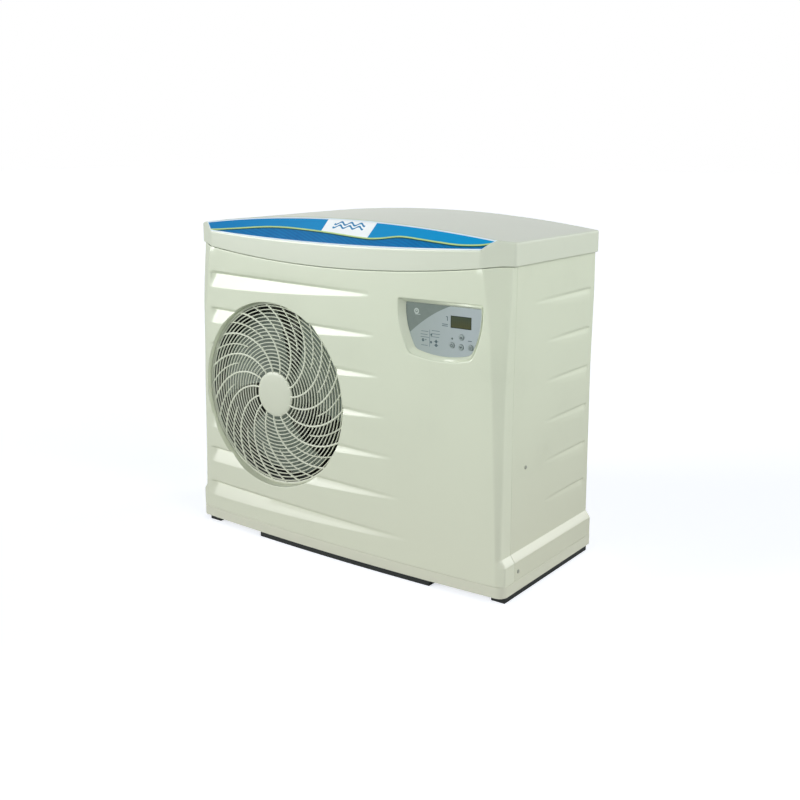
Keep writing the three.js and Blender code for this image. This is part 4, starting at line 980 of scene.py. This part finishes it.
def swirl(r):
    """How far a spoke has turned at a radius."""
    return SWIRL_TURN * (max(0.0, r - BOSS_R) / (OPENING_R - BOSS_R)) ** 1.2


SWIRL_TURN, BOSS_R = 0.9, 60
SPOKE_SHAPE = [(-0.5, 0.9), (-0.28, 0.1), (0.28, 0.1), (0.5, 0.9)]


def grille_spoke(turn, r0, r1, wide, deep, count):
    """A swirled spoke from one radius to another that follows the dome."""
    points = []
    section = [(-0.5, deep)] + SPOKE_SHAPE + [(0.5, deep)]
    for r in np.linspace(r0, r1, count):
        a, a1 = turn + swirl(r), turn + swirl(r + 1)
        here = np.array([r * math.cos(a), r * math.sin(a)])
        way = np.array([(r + 1) * math.cos(a1), (r + 1) * math.sin(a1)]) - here
        across = np.array([-way[1], way[0]]) / np.hypot(*way)
        y = grille_y(r) - 0.4
        for s, d in section:
            spot = here + across * wide * s
            points.append((FAN_X + spot[0], y + d, FAN_Z + spot[1]))
    faces = hoop_faces(count, len(section)) + end_faces(count, len(section))
    return new_piece("spoke", points, faces)


RING_COUNT, SPOKE_COUNT = 18, 15
SPOKE_END = 243
grille_parts = [grille_ring(r, 2.8, 2.8) for r in np.linspace(71, 236, RING_COUNT)]
for k in range(SPOKE_COUNT):
    turn = 2 * math.pi * k / SPOKE_COUNT
    grille_parts.append(grille_spoke(turn, BOSS_R - 4, SPOKE_END, 4.6, 3.4, 26))
    grille_parts.append(grille_spoke(turn + math.pi / SPOKE_COUNT, 152, SPOKE_END, 3.6, 3.2, 14))
boss = [(0, -2.2), (30, -1.7), (50, -0.9), (57, -0.2), (60, 1.2), (61, 4), (58, 4), (56, 2), (0, 1)]
rim = [(240, 3), (240, 0.4), (240.6, 0), (246.4, 0), (247.2, 0.6), (247.2, 3), (240, 3)]
for name, outline, level, steps in (("boss", boss, grille_y(BOSS_R), 72), ("rim", rim, grille_y(246), 144)):
    grille_parts.append(spun(name, [(r, level + d) for r, d in outline], FAN_AXIS, steps=steps))
grille = join_pieces("grille_moulding", grille_parts)
bpy.ops.object.mode_set(mode="EDIT")
bpy.ops.mesh.select_all(action="SELECT")
bpy.ops.mesh.normals_make_consistent(inside=False)
bpy.ops.object.mode_set(mode="OBJECT")
grille.data.materials.clear()
grille.data.materials.append(moulded("grille_cream", srgb(206, 213, 192), rough=0.4))
bpy.ops.object.shade_smooth_by_angle(angle=math.radians(40))
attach(grille, "cabinet")
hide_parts("fan_grille")

# ---------------------------------------------------------------- fan orifice and propeller
# A dark bell-mouthed ring of moulded plastic, with three broad grey-green blades on a hub that
# turn inside it; a nut holds the hub on the motor's shaft.
fan_green = moulded("fan_green", srgb(126, 140, 126), rough=0.5)
orifice_dark = moulded("orifice_dark", srgb(26, 30, 27), rough=0.6)
bell_outside = [(236, 16.6), (254, 16.6), (254, 19.6), (239, 19.8), (236.4, 22), (235, 26), (235, 68.6)]
bell_inside = [(232, 68.6), (232, 24), (232.6, 20.5), (234, 18), (236, 16.6)]
orifice = spun("bell_mouth", bell_outside + bell_inside, FAN_AXIS, steps=120)
finish_piece(orifice, orifice_dark, "cabinet", "fan_orifice")

hub_front = [(6.4, 30), (34, 30), (40, 30.6), (52, 35), (58, 39), (60, 43)]
hub = hub_front + [(60, 74), (58, 75), (6.4, 75), (6.4, 30)]
propeller_parts = [spun("hub", hub, FAN_AXIS)]
BLADE_COUNT, BLADE_ROOT, BLADE_LONG = 3, 57, 167
BLADE_Y, BLADE_WALL = 52.5, 2.8
ALONG, ACROSS = 13, 17
for k in range(BLADE_COUNT):
    turn = 2 * math.pi * (k + 1) / BLADE_COUNT + 0.2
    points = []
    for i in np.linspace(0, 1, ALONG):
        for j in np.linspace(0, 1, ACROSS):
            s = j - 0.5
            out = BLADE_LONG * i * (1 - 0.05 * (2 * abs(s)) ** 6)
            r = BLADE_ROOT + out
            a = turn + s * (1.22 + 0.36 * i) + 0.28 * out / BLADE_LONG
            y = BLADE_Y - s * (34 - 4 * i) + 3.5 * math.sin(math.pi * j) * i
            points.append((FAN_X + r * math.cos(a), y, FAN_Z + r * math.sin(a)))
    blade = new_piece("blade", points, grid_faces(0, ALONG, ACROSS))
    give_wall(blade, BLADE_WALL, 0)
    propeller_parts.append(blade)
propeller = join_pieces("propeller", propeller_parts)
finish_piece(propeller, fan_green, "fan", "fan_propeller", angle=40)

# ---------------------------------------------------------------- control panel
# A printed polyester film lies at the foot of the recess, over a green circuit board in a grey box.
# It has holes for the display, four push keys and a small lamp.
KEYS = [(351, 589), (377, 610), (376, 586.5), (402, 588.5)]
LAMP = (351, 604.6)
SCREEN = (375, 644, 57, 29)


def print_places(spot):
    """Millimetres across from the middle and up from the base, for print on a panel."""
    across, _, height = spot.parts()
    return across * 1000, height * 1000 - Z_BASE


def bar(x0, x1, h0, h1, soft=0.2):
    """A printed bar at the places px and ph of the material in hand."""
    return px.between(x0, x1, soft) * ph.between(h0, h1, soft)


def ring_mark(x, h, low, high, soft=0.25):
    """A printed ring, or a dot when it starts at 0."""
    away = (px - x) * (px - x) + (ph - h) * (ph - h)
    return away.maths("SQRT").between(low, high, soft)


FILM_LEFT, FILM_SPAN, DARK_END = 235, 190, 362
panel_look, tree, spot, shader = blank_look("panel_print")
px, ph = print_places(spot)
dust = tree.node("ShaderNodeTexNoise", {}, {"Vector": spot, "Scale": 60, "Detail": 3})
run = px - FILM_LEFT
swoop = ph - (run * 0.86 - run * run * 0.0022 + 611)
dark = swoop.between(0, 400, 0.25) * px.between(-900, DARK_END, 0.3)
pale = (run / FILM_SPAN).blend(srgb(150, 163, 158), srgb(168, 180, 182))
ground_color = dark.blend(pale, srgb(104, 118, 110))
ground_color = (dust * 0.12).blend(ground_color, srgb(186, 196, 192))


lines = strongest(
    bar(323, 339, 635.6, 637.2), bar(323, 339, 631.6, 633.2),
    bar(336.6, 338.6, 645, 655), bar(333.4, 338.6, 653.6, 655.2),
    bar(287.6, 288.6, 578, 619, 0.15), bar(262, 286, 599.6, 600.6), bar(262, 282, 606, 607),
    bar(264, 284, 613.4, 614.4), bar(291, 315, 602.4, 603.4), bar(293, 317, 609.6, 610.6),
    bar(294, 316, 617, 618), bar(264, 282, 580, 581), bar(394.5, 405, 602.8, 604.4),
    ring_mark(292.6, 607.2, 0, 2.6), ring_mark(269, 592.6, 1.1, 3.6), ring_mark(292, 589.4, 0.6, 2.9),
    ring_mark(306.4, 592.4, 0.8, 3.4), ring_mark(306.6, 583.4, 1.0, 3.6), ring_mark(277, 594, 0, 1.5),
    bar(300, 313, 591.8, 593), bar(305.8, 307.2, 586, 597.5), bar(300.5, 312.5, 582.8, 584),
)
printed_color = lines.blend(ground_color, srgb(66, 88, 92))
light = strongest(ring_mark(250, 660, 3.8, 7), bar(246, 261, 651.6, 653.2, 0.4), ring_mark(250, 661, 0, 2))
printed_color = (light * 0.75).blend(printed_color, srgb(188, 200, 192))
feed(panel_look, printed_color, "Base Color")
feed(panel_look, dust * 0.12 + 0.36, "Roughness")
shader["Specular IOR Level"].default_value = 0.3

KEY_HOLE, LAMP_HOLE = 7.4, 2.5
holes = [circle(x, h + Z_BASE, KEY_HOLE) for x, h in KEYS]
holes.append(circle(LAMP[0], LAMP[1] + Z_BASE, LAMP_HOLE, 18))
sx, sh, wide, tall = SCREEN
corners = ((-1, -1), (1, -1), (1, 1), (-1, 1))
screen_hole = [(sx + a * wide / 2, sh + b * tall / 2 + Z_BASE) for a, b in corners]
OVERLAY_Y = 1.5
overlay_edge = recess_outline(-9.2)
panel_fill = [(x, z) for x in np.arange(228, 424, 9) for z in np.arange(580, 690, 9)]
flat, faces = cut_sheet(overlay_edge, holes + [screen_hole], [], panel_fill)
overlay = new_piece("panel_film", [(x, OVERLAY_Y, z) for x, z in flat], faces)
if sum((p.normal * p.area for p in overlay.data.polygons), Vector()).y > 0:
    overlay.data.flip_normals()
give_wall(overlay, 0.9)
overlay.data.materials.append(panel_look)
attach(overlay, "cabinet")
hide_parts("control_overlay")

# ---------------------------------------------------------------- display
# A liquid crystal glass, laid in a window of the film, with a dark frame printed round its back.
# Four unlit digits show faintly in it.
glass_look, tree, spot, shader = blank_look("display_glass")
px, ph = print_places(spot)
cloud = tree.node("ShaderNodeTexNoise", {}, {"Vector": spot, "Scale": 45, "Detail": 2})
crystal = ((ph - 630) / 28).blend(srgb(84, 84, 50), srgb(70, 80, 62))
crystal = (cloud * 0.4).blend(crystal, srgb(60, 72, 62))
digits = strongest(*[
    strongest(
        bar(x, x + 7, 651.2, 652.2, 0.2), bar(x, x + 7, 643.6, 644.6, 0.2), bar(x, x + 7, 636, 637, 0.2),
        bar(x - 0.4, x + 0.7, 636.5, 651.7, 0.2), bar(x + 6.3, x + 7.4, 636.5, 651.7, 0.2),
    )
    for x in (354, 365, 376, 387)
])
crystal = (digits * 0.13).blend(crystal, srgb(30, 36, 28))
frame_in = px.between(348.6, 401.4, 0.25) * ph.between(631.6, 656.6, 0.25)
crystal = frame_in.blend(srgb(52, 62, 50), crystal)
feed(glass_look, crystal, "Base Color")
feed(glass_look, cloud * 0.04 + 0.14, "Roughness")
shader["Specular IOR Level"].default_value = 0.25


def kept(node, look, edge=0.0, angle=35):
    """Keeps a CAD piece's own shape: joins its faces, rounds its edges and gives it its finish."""
    piece = bpy.data.objects[node]
    pick(piece)
    piece.data.materials.clear()
    piece.data.materials.append(look)
    bpy.ops.object.shade_smooth_by_angle(angle=math.radians(angle))
    merge = piece.modifiers.new("merge", "WELD")
    merge.merge_threshold = 0.00002
    if edge:
        soft = piece.modifiers.new("edge", "BEVEL")
        soft.width = edge / 1000
        soft.segments = 2
        soft.limit_method = "ANGLE"
        soft.angle_limit = math.radians(40)
    even = piece.modifiers.new("even", "WEIGHTED_NORMAL")
    even.keep_sharp = True


kept("display_window", glass_look, 0.2)

# ---------------------------------------------------------------- keys and lamp
# Four round grey push keys with rounded tops and a printed sign each, and a small clear lamp.
# The keys stand through the film and move with their joints.
KEY_SIGNS = ["ring", "up", "down", "bars"]
KEY_TOP = [(0, -0.5), (4.6, -0.5), (6.1, -0.32), (6.75, 0.1), (7, 0.8), (7, 3.6)]
KEY_FLANGE = [(8.2, 3.6), (8.2, 4.6), (7, 4.6), (3, 4.6), (3, 7.3), (0, 7.3)]
for number, ((kx, kh), sign) in enumerate(zip(KEYS, KEY_SIGNS), 1):
    key_look, tree, spot, _ = blank_look(f"key_print_{sign}")
    px, ph = print_places(spot)
    wear = tree.node("ShaderNodeTexNoise", {}, {"Vector": spot, "Scale": 150, "Detail": 3})
    if sign == "ring":
        stem = bar(kx - 0.6, kx + 0.6, kh + 0.5, kh + 4, 0.15)
        mark = strongest(ring_mark(kx, kh - 0.3, 2.3, 3.6, 0.15), stem)
    elif sign == "bars":
        mark = strongest(*[bar(kx - 3.4, kx + 3.4, kh + d, kh + d + 1.1, 0.15) for d in (-3, -0.5, 2)])
    else:
        aside, ahead = abs(px - kx), (ph - kh) * (1 if sign == "up" else -1)
        mark = (aside + ahead).between(-1.6, 2.4, 0.2)
        mark = mark * aside.between(-1, 3.8, 0.2) * ahead.between(-2.6, 3, 0.2)
    rubbery = (wear * 0.5).blend(srgb(140, 154, 150), srgb(122, 136, 134))
    feed(key_look, mark.blend(rubbery, srgb(58, 72, 74)), "Base Color")
    feed(key_look, wear * 0.1 + 0.42, "Roughness")
    cap = spun(f"key_cap_{number}", KEY_TOP + KEY_FLANGE, (kx, 0, kh + Z_BASE), steps=48)
    finish_piece(cap, key_look, f"key_{number}", f"control_key_{number}", angle=50)

lamp_look, tree, spot, _ = blank_look("lamp_lens")
haze = tree.node("ShaderNodeTexNoise", {}, {"Vector": spot, "Scale": 700, "Detail": 2})
feed(lamp_look, haze.blend(srgb(86, 104, 100), srgb(118, 134, 130)), "Base Color")
feed(lamp_look, haze * 0.1 + 0.15, "Roughness")
lens_dome = [(0, 0.4), (1.2, 0.55), (1.9, 0.95), (2.3, 1.7), (2.3, 3), (0, 3)]
lens = spun("status_lamp", lens_dome, (LAMP[0], 0, LAMP[1] + Z_BASE), steps=24)
finish_piece(lens, lamp_look, "cabinet", angle=60)

# ---------------------------------------------------------------- finishes of the inner parts
# The fan's drive, the refrigerant and water circuits, the wiring box and the rear keep their plain shapes.
# Painted, plated, cast and drawn surfaces: each has uneven colour and gloss at its own scale.
def surface(
    name, first, second, rough=(0.3, 0.5), metal=0.0, scale=14,
    grain=0.00004, grain_scale=300, stretch=(1, 1, 1), spec=0.5,
):
    """A finish that wanders between two colours and two degrees of gloss, with a fine relief."""
    made, tree, spot, inputs = blank_look(name)
    laid = tree.node("ShaderNodeVectorMath", {"operation": "MULTIPLY"}, {0: spot, 1: stretch})
    cloud = tree.node("ShaderNodeTexNoise", {}, {"Vector": laid, "Scale": scale, "Detail": 4})
    fine = tree.node("ShaderNodeTexNoise", {}, {"Vector": laid, "Scale": grain_scale, "Detail": 2})
    feed(made, cloud.between(0.38, 2, 0.16).blend(first, second), "Base Color")
    feed(made, cloud * (rough[1] - rough[0]) + fine * 0.08 + (rough[0] - 0.04), "Roughness")
    inputs["Metallic"].default_value = metal
    inputs["Specular IOR Level"].default_value = spec
    bump = tree.node("ShaderNodeBump", {}, {"Height": fine * grain, "Strength": 0.7, "Distance": 1.0})
    feed(made, bump, "Normal")
    return made


rubber = surface(
    "strip_rubber", srgb(24, 28, 27), srgb(34, 38, 37), (0.55, 0.8), scale=40, grain=0.0001, spec=0.3
)
zinc = surface("zinc_steel", srgb(168, 172, 172), srgb(142, 147, 149), (0.25, 0.5), 1.0, 30, grain_scale=90)
painted = surface("rear_cream", srgb(206, 213, 192), srgb(200, 207, 186), (0.4, 0.55), scale=6)
guard_paint = surface("guard_paint", srgb(200, 206, 188), srgb(188, 194, 176), (0.35, 0.5), scale=20)
bare_aluminium = surface(
    "coil_aluminium", srgb(186, 190, 188), srgb(160, 166, 166), (0.35, 0.5), 0.25, 12, stretch=(8, 1, 1)
)
cast = surface("can_aluminium", srgb(150, 154, 150), srgb(122, 128, 126), (0.3, 0.55), 0.9, 22)
enamel = surface(
    "black_enamel", srgb(30, 31, 33), srgb(20, 21, 23), (0.22, 0.4), scale=18, grain=0.00008, grain_scale=160
)
copper = surface("copper", srgb(196, 124, 86), srgb(150, 84, 60), (0.2, 0.45), 1.0, 25)
pvc = surface("grey_pvc", srgb(98, 103, 106), srgb(86, 91, 95), (0.35, 0.5), scale=16)
black_plastic = surface("black_plastic", srgb(38, 40, 41), srgb(28, 30, 31), (0.4, 0.6), scale=30)
green_board = surface("board", srgb(38, 92, 62), srgb(24, 70, 48), (0.3, 0.45), scale=60, grain_scale=800)
film_can = surface("capacitor_can", srgb(186, 188, 186), srgb(160, 163, 163), (0.2, 0.35), 0.9, 20)

for node, look, edge in (
    ("foot_strip_left", rubber, 1.2), ("foot_strip_right", rubber, 1.2), ("foot_strip_front", rubber, 1.2),
    ("rear_panel", painted, 0.5), ("partition_panel", zinc, 0.3),
    ("coil_guard", guard_paint, 0.5), ("drain_spout", painted, 0.5),
    ("fan_nut", zinc, 0.6), ("motor_shaft", zinc, 0.3), ("fan_motor", cast, 1.5), ("motor_plate", zinc, 0.6),
    ("motor_rail_left", zinc, 0.8), ("motor_rail_right", zinc, 0.8),
    ("compressor", enamel, 2.0), ("compressor_grommet_1", black_plastic, 1.0),
    ("compressor_grommet_2", black_plastic, 1.0), ("compressor_grommet_3", black_plastic, 1.0),
    ("suction_accumulator", enamel, 1.5), ("compressor_terminal_cover", black_plastic, 1.5),
    ("reversing_valve", copper, 0.8), ("discharge_pipe", copper, 0), ("suction_pipe", copper, 0),
    ("gas_pipe", copper, 0), ("liquid_pipe", copper, 0), ("filter_drier", copper, 1.2),
    ("heat_exchanger_shell", pvc, 1.5), ("heat_exchanger_cap", black_plastic, 1.5),
    ("water_inlet_pipe", pvc, 0.6), ("water_outlet_pipe", pvc, 0.6), ("flow_switch", black_plastic, 1.0),
    ("electrical_box", zinc, 0.6), ("electrical_box_cover", zinc, 0.4), ("contactor", black_plastic, 1.2),
    ("run_capacitor", film_can, 1.0), ("terminal_block", painted, 0.8),
    ("cable_gland", black_plastic, 0.5),
    ("control_housing", pvc, 0.6), ("controller_board", green_board, 0.2),
):
    kept(node, look, edge)

# ---------------------------------------------------------------- screws
# Plated pan-head screws with a hollow in the middle of the head hold the casing, two on each side:
# one through the side panel and one through the base.
screw_steel = surface("screw_steel", srgb(176, 180, 164), srgb(150, 154, 142), (0.3, 0.45), 0.3, 200)
PAN_DOME = [(0, 0.9), (0.9, 0.9), (1.6, 1.9), (2.6, 1.95), (3.6, 1.75), (4.5, 1.3), (4.9, 0.7)]
PAN_HEAD = PAN_DOME + [(5, 0), (0, 0)]
for name, x, y, z in (("side_screw", 487.8, 115, 305), ("base_screw", 500.3, 68, 63)):
    for hand, side in (("right", 1), ("left", -1)):
        head = spun(f"{name}_{hand}_head", PAN_HEAD, (side * x, y, z), (side, 0, 0), 32)
        finish_piece(head, screw_steel, "cabinet", f"{name}_{hand}", angle=35)

# ---------------------------------------------------------------- coil
# Some two hundred thin aluminium fins, each with a fold down it, stand on copper tubes whose bends
# show at both ends. A thick copper header runs up the inner end, fed by nine short tubes.
def tube(name, path, radius, around=12):
    """A round tube swept along a path of points in millimetres."""
    path = [np.array(p, float) for p in path]
    points = []
    ways = [path[min(i + 1, len(path) - 1)] - path[max(i - 1, 0)] for i in range(len(path))]
    side = None
    for p, way in zip(path, ways):
        way = way / np.linalg.norm(way)
        if side is None:
            side = np.cross(way, (0.31, 0.52, 0.79))
        side = side - way * np.dot(side, way)
        side /= np.linalg.norm(side)
        other = np.cross(way, side)
        points += [
            tuple(p + radius * (math.cos(a) * side + math.sin(a) * other))
            for a in np.linspace(0, 2 * math.pi, around, endpoint=False)
        ]
    return new_piece(name, points, hoop_faces(len(path), around) + end_faces(len(path), around))


FIN_COUNT, FIN_PITCH, FIN_WALL = 202, 2.53, 0.3
FIN_LOW, FIN_HIGH = 24, 754
FIN_FOLD = ((388, 0), (407, 2.4), (426, 0))
fin = new_piece(
    "coil_fins",
    [
        (-452 + dx + sway, y, z)
        for dx in (0, FIN_WALL)
        for z in (FIN_LOW, FIN_HIGH)
        for y, sway in FIN_FOLD
    ],
    [(0, 3, 4, 1), (1, 4, 5, 2), (6, 7, 10, 9), (7, 8, 11, 10), (0, 1, 7, 6), (1, 2, 8, 7),
     (3, 9, 10, 4), (4, 10, 11, 5), (0, 6, 9, 3), (2, 5, 11, 8)],
)
row = fin.modifiers.new("row", "ARRAY")
row.count = FIN_COUNT
row.use_relative_offset = False
row.use_constant_offset = True
row.constant_offset_displace = (FIN_PITCH / 1000, 0, 0)
bpy.ops.object.modifier_apply(modifier="row")
finish_piece(fin, bare_aluminium, "cabinet", "evaporator_coil")

TUBE_ROWS, TUBE_PITCH, TUBE_LOW = 28, 25, 50
TUBE_DEPTHS = (397, 417)
TUBE_LEFT, TUBE_RIGHT = -450, 60
half_turn = np.linspace(0, math.pi, 9)
coil_parts = []
for i in range(TUBE_ROWS - 1):
    end, out = ((TUBE_LEFT, -1), (TUBE_RIGHT, 1))[i % 2]
    z = TUBE_LOW + TUBE_PITCH * (i + 0.5)
    for y in TUBE_DEPTHS:
        arc = [(end + out * 4.5 * math.sin(a), y, z - TUBE_PITCH / 2 * math.cos(a)) for a in half_turn]
        coil_parts.append(tube("bend", arc, 3))
for i in range(TUBE_ROWS):
    z = TUBE_LOW + TUBE_PITCH * i
    for y in TUBE_DEPTHS:
        straight = [(x, y, z) for x in (TUBE_LEFT - 1, -200, TUBE_RIGHT + 1)]
        coil_parts.append(tube("straight", straight, 4.5, 10))
coil_parts.append(tube("header", [(74, 407, z) for z in (60, 61, 400, 719, 720)], 6.5, 20))
for z in np.linspace(90, 690, 9):
    coil_parts.append(tube("feeder", [(x, 407, z) for x in (60, 66, 72)], 2.6))
coil_tubes = join_pieces("coil_tubes", coil_parts)
finish_piece(coil_tubes, copper, "cabinet", angle=40)

# ---------------------------------------------------------------- union nuts
# Two grey nuts of PVC, moulded with finger ribs, couple the pool's pipes to the exchanger.
# Each turns on its own joint, with a small gap round the pipe.
RIB_COUNT, RIB_DEEP = 24, 1.9
# Radius, distance back, and how far the ribs stand out there.
NUT_FRONT = [(27.5, 448, 0), (34.2, 448, 0), (35.0, 449, 0), (35.0, 452.5, 0)]
NUT_RIBS = [(36.7, 454, 1), (36.9, 481.4, 1), (36.2, 483.8, 0.6)]
NUT_REAR = [(35.0, 485, 0), (30.6, 485, 0), (29.6, 483.5, 0), (29.6, 470, 0), (27.5, 466, 0)]


def union_nut(name, x, z, body, node):
    """A ribbed nut round an axis that runs front to back."""
    around = np.linspace(0, 2 * math.pi, 6 * RIB_COUNT, endpoint=False)
    hoops = NUT_FRONT + NUT_RIBS + NUT_REAR + NUT_FRONT[:1]
    points = []
    for radius, y, rib in hoops:
        for a in around:
            wave = max(0.0, math.cos(RIB_COUNT * a)) ** 0.6
            r = radius - rib * RIB_DEEP * (1 - wave)
            points.append((x + r * math.cos(a), y, z + r * math.sin(a)))
    nut = new_piece(name, points, hoop_faces(len(hoops), len(around)))
    finish_piece(nut, pvc, body, node, angle=38)


union_nut("union_ribs_inlet", 190, 118, "union_inlet", "union_nut_inlet")
union_nut("union_ribs_outlet", 190, 368, "union_outlet", "union_nut_outlet")
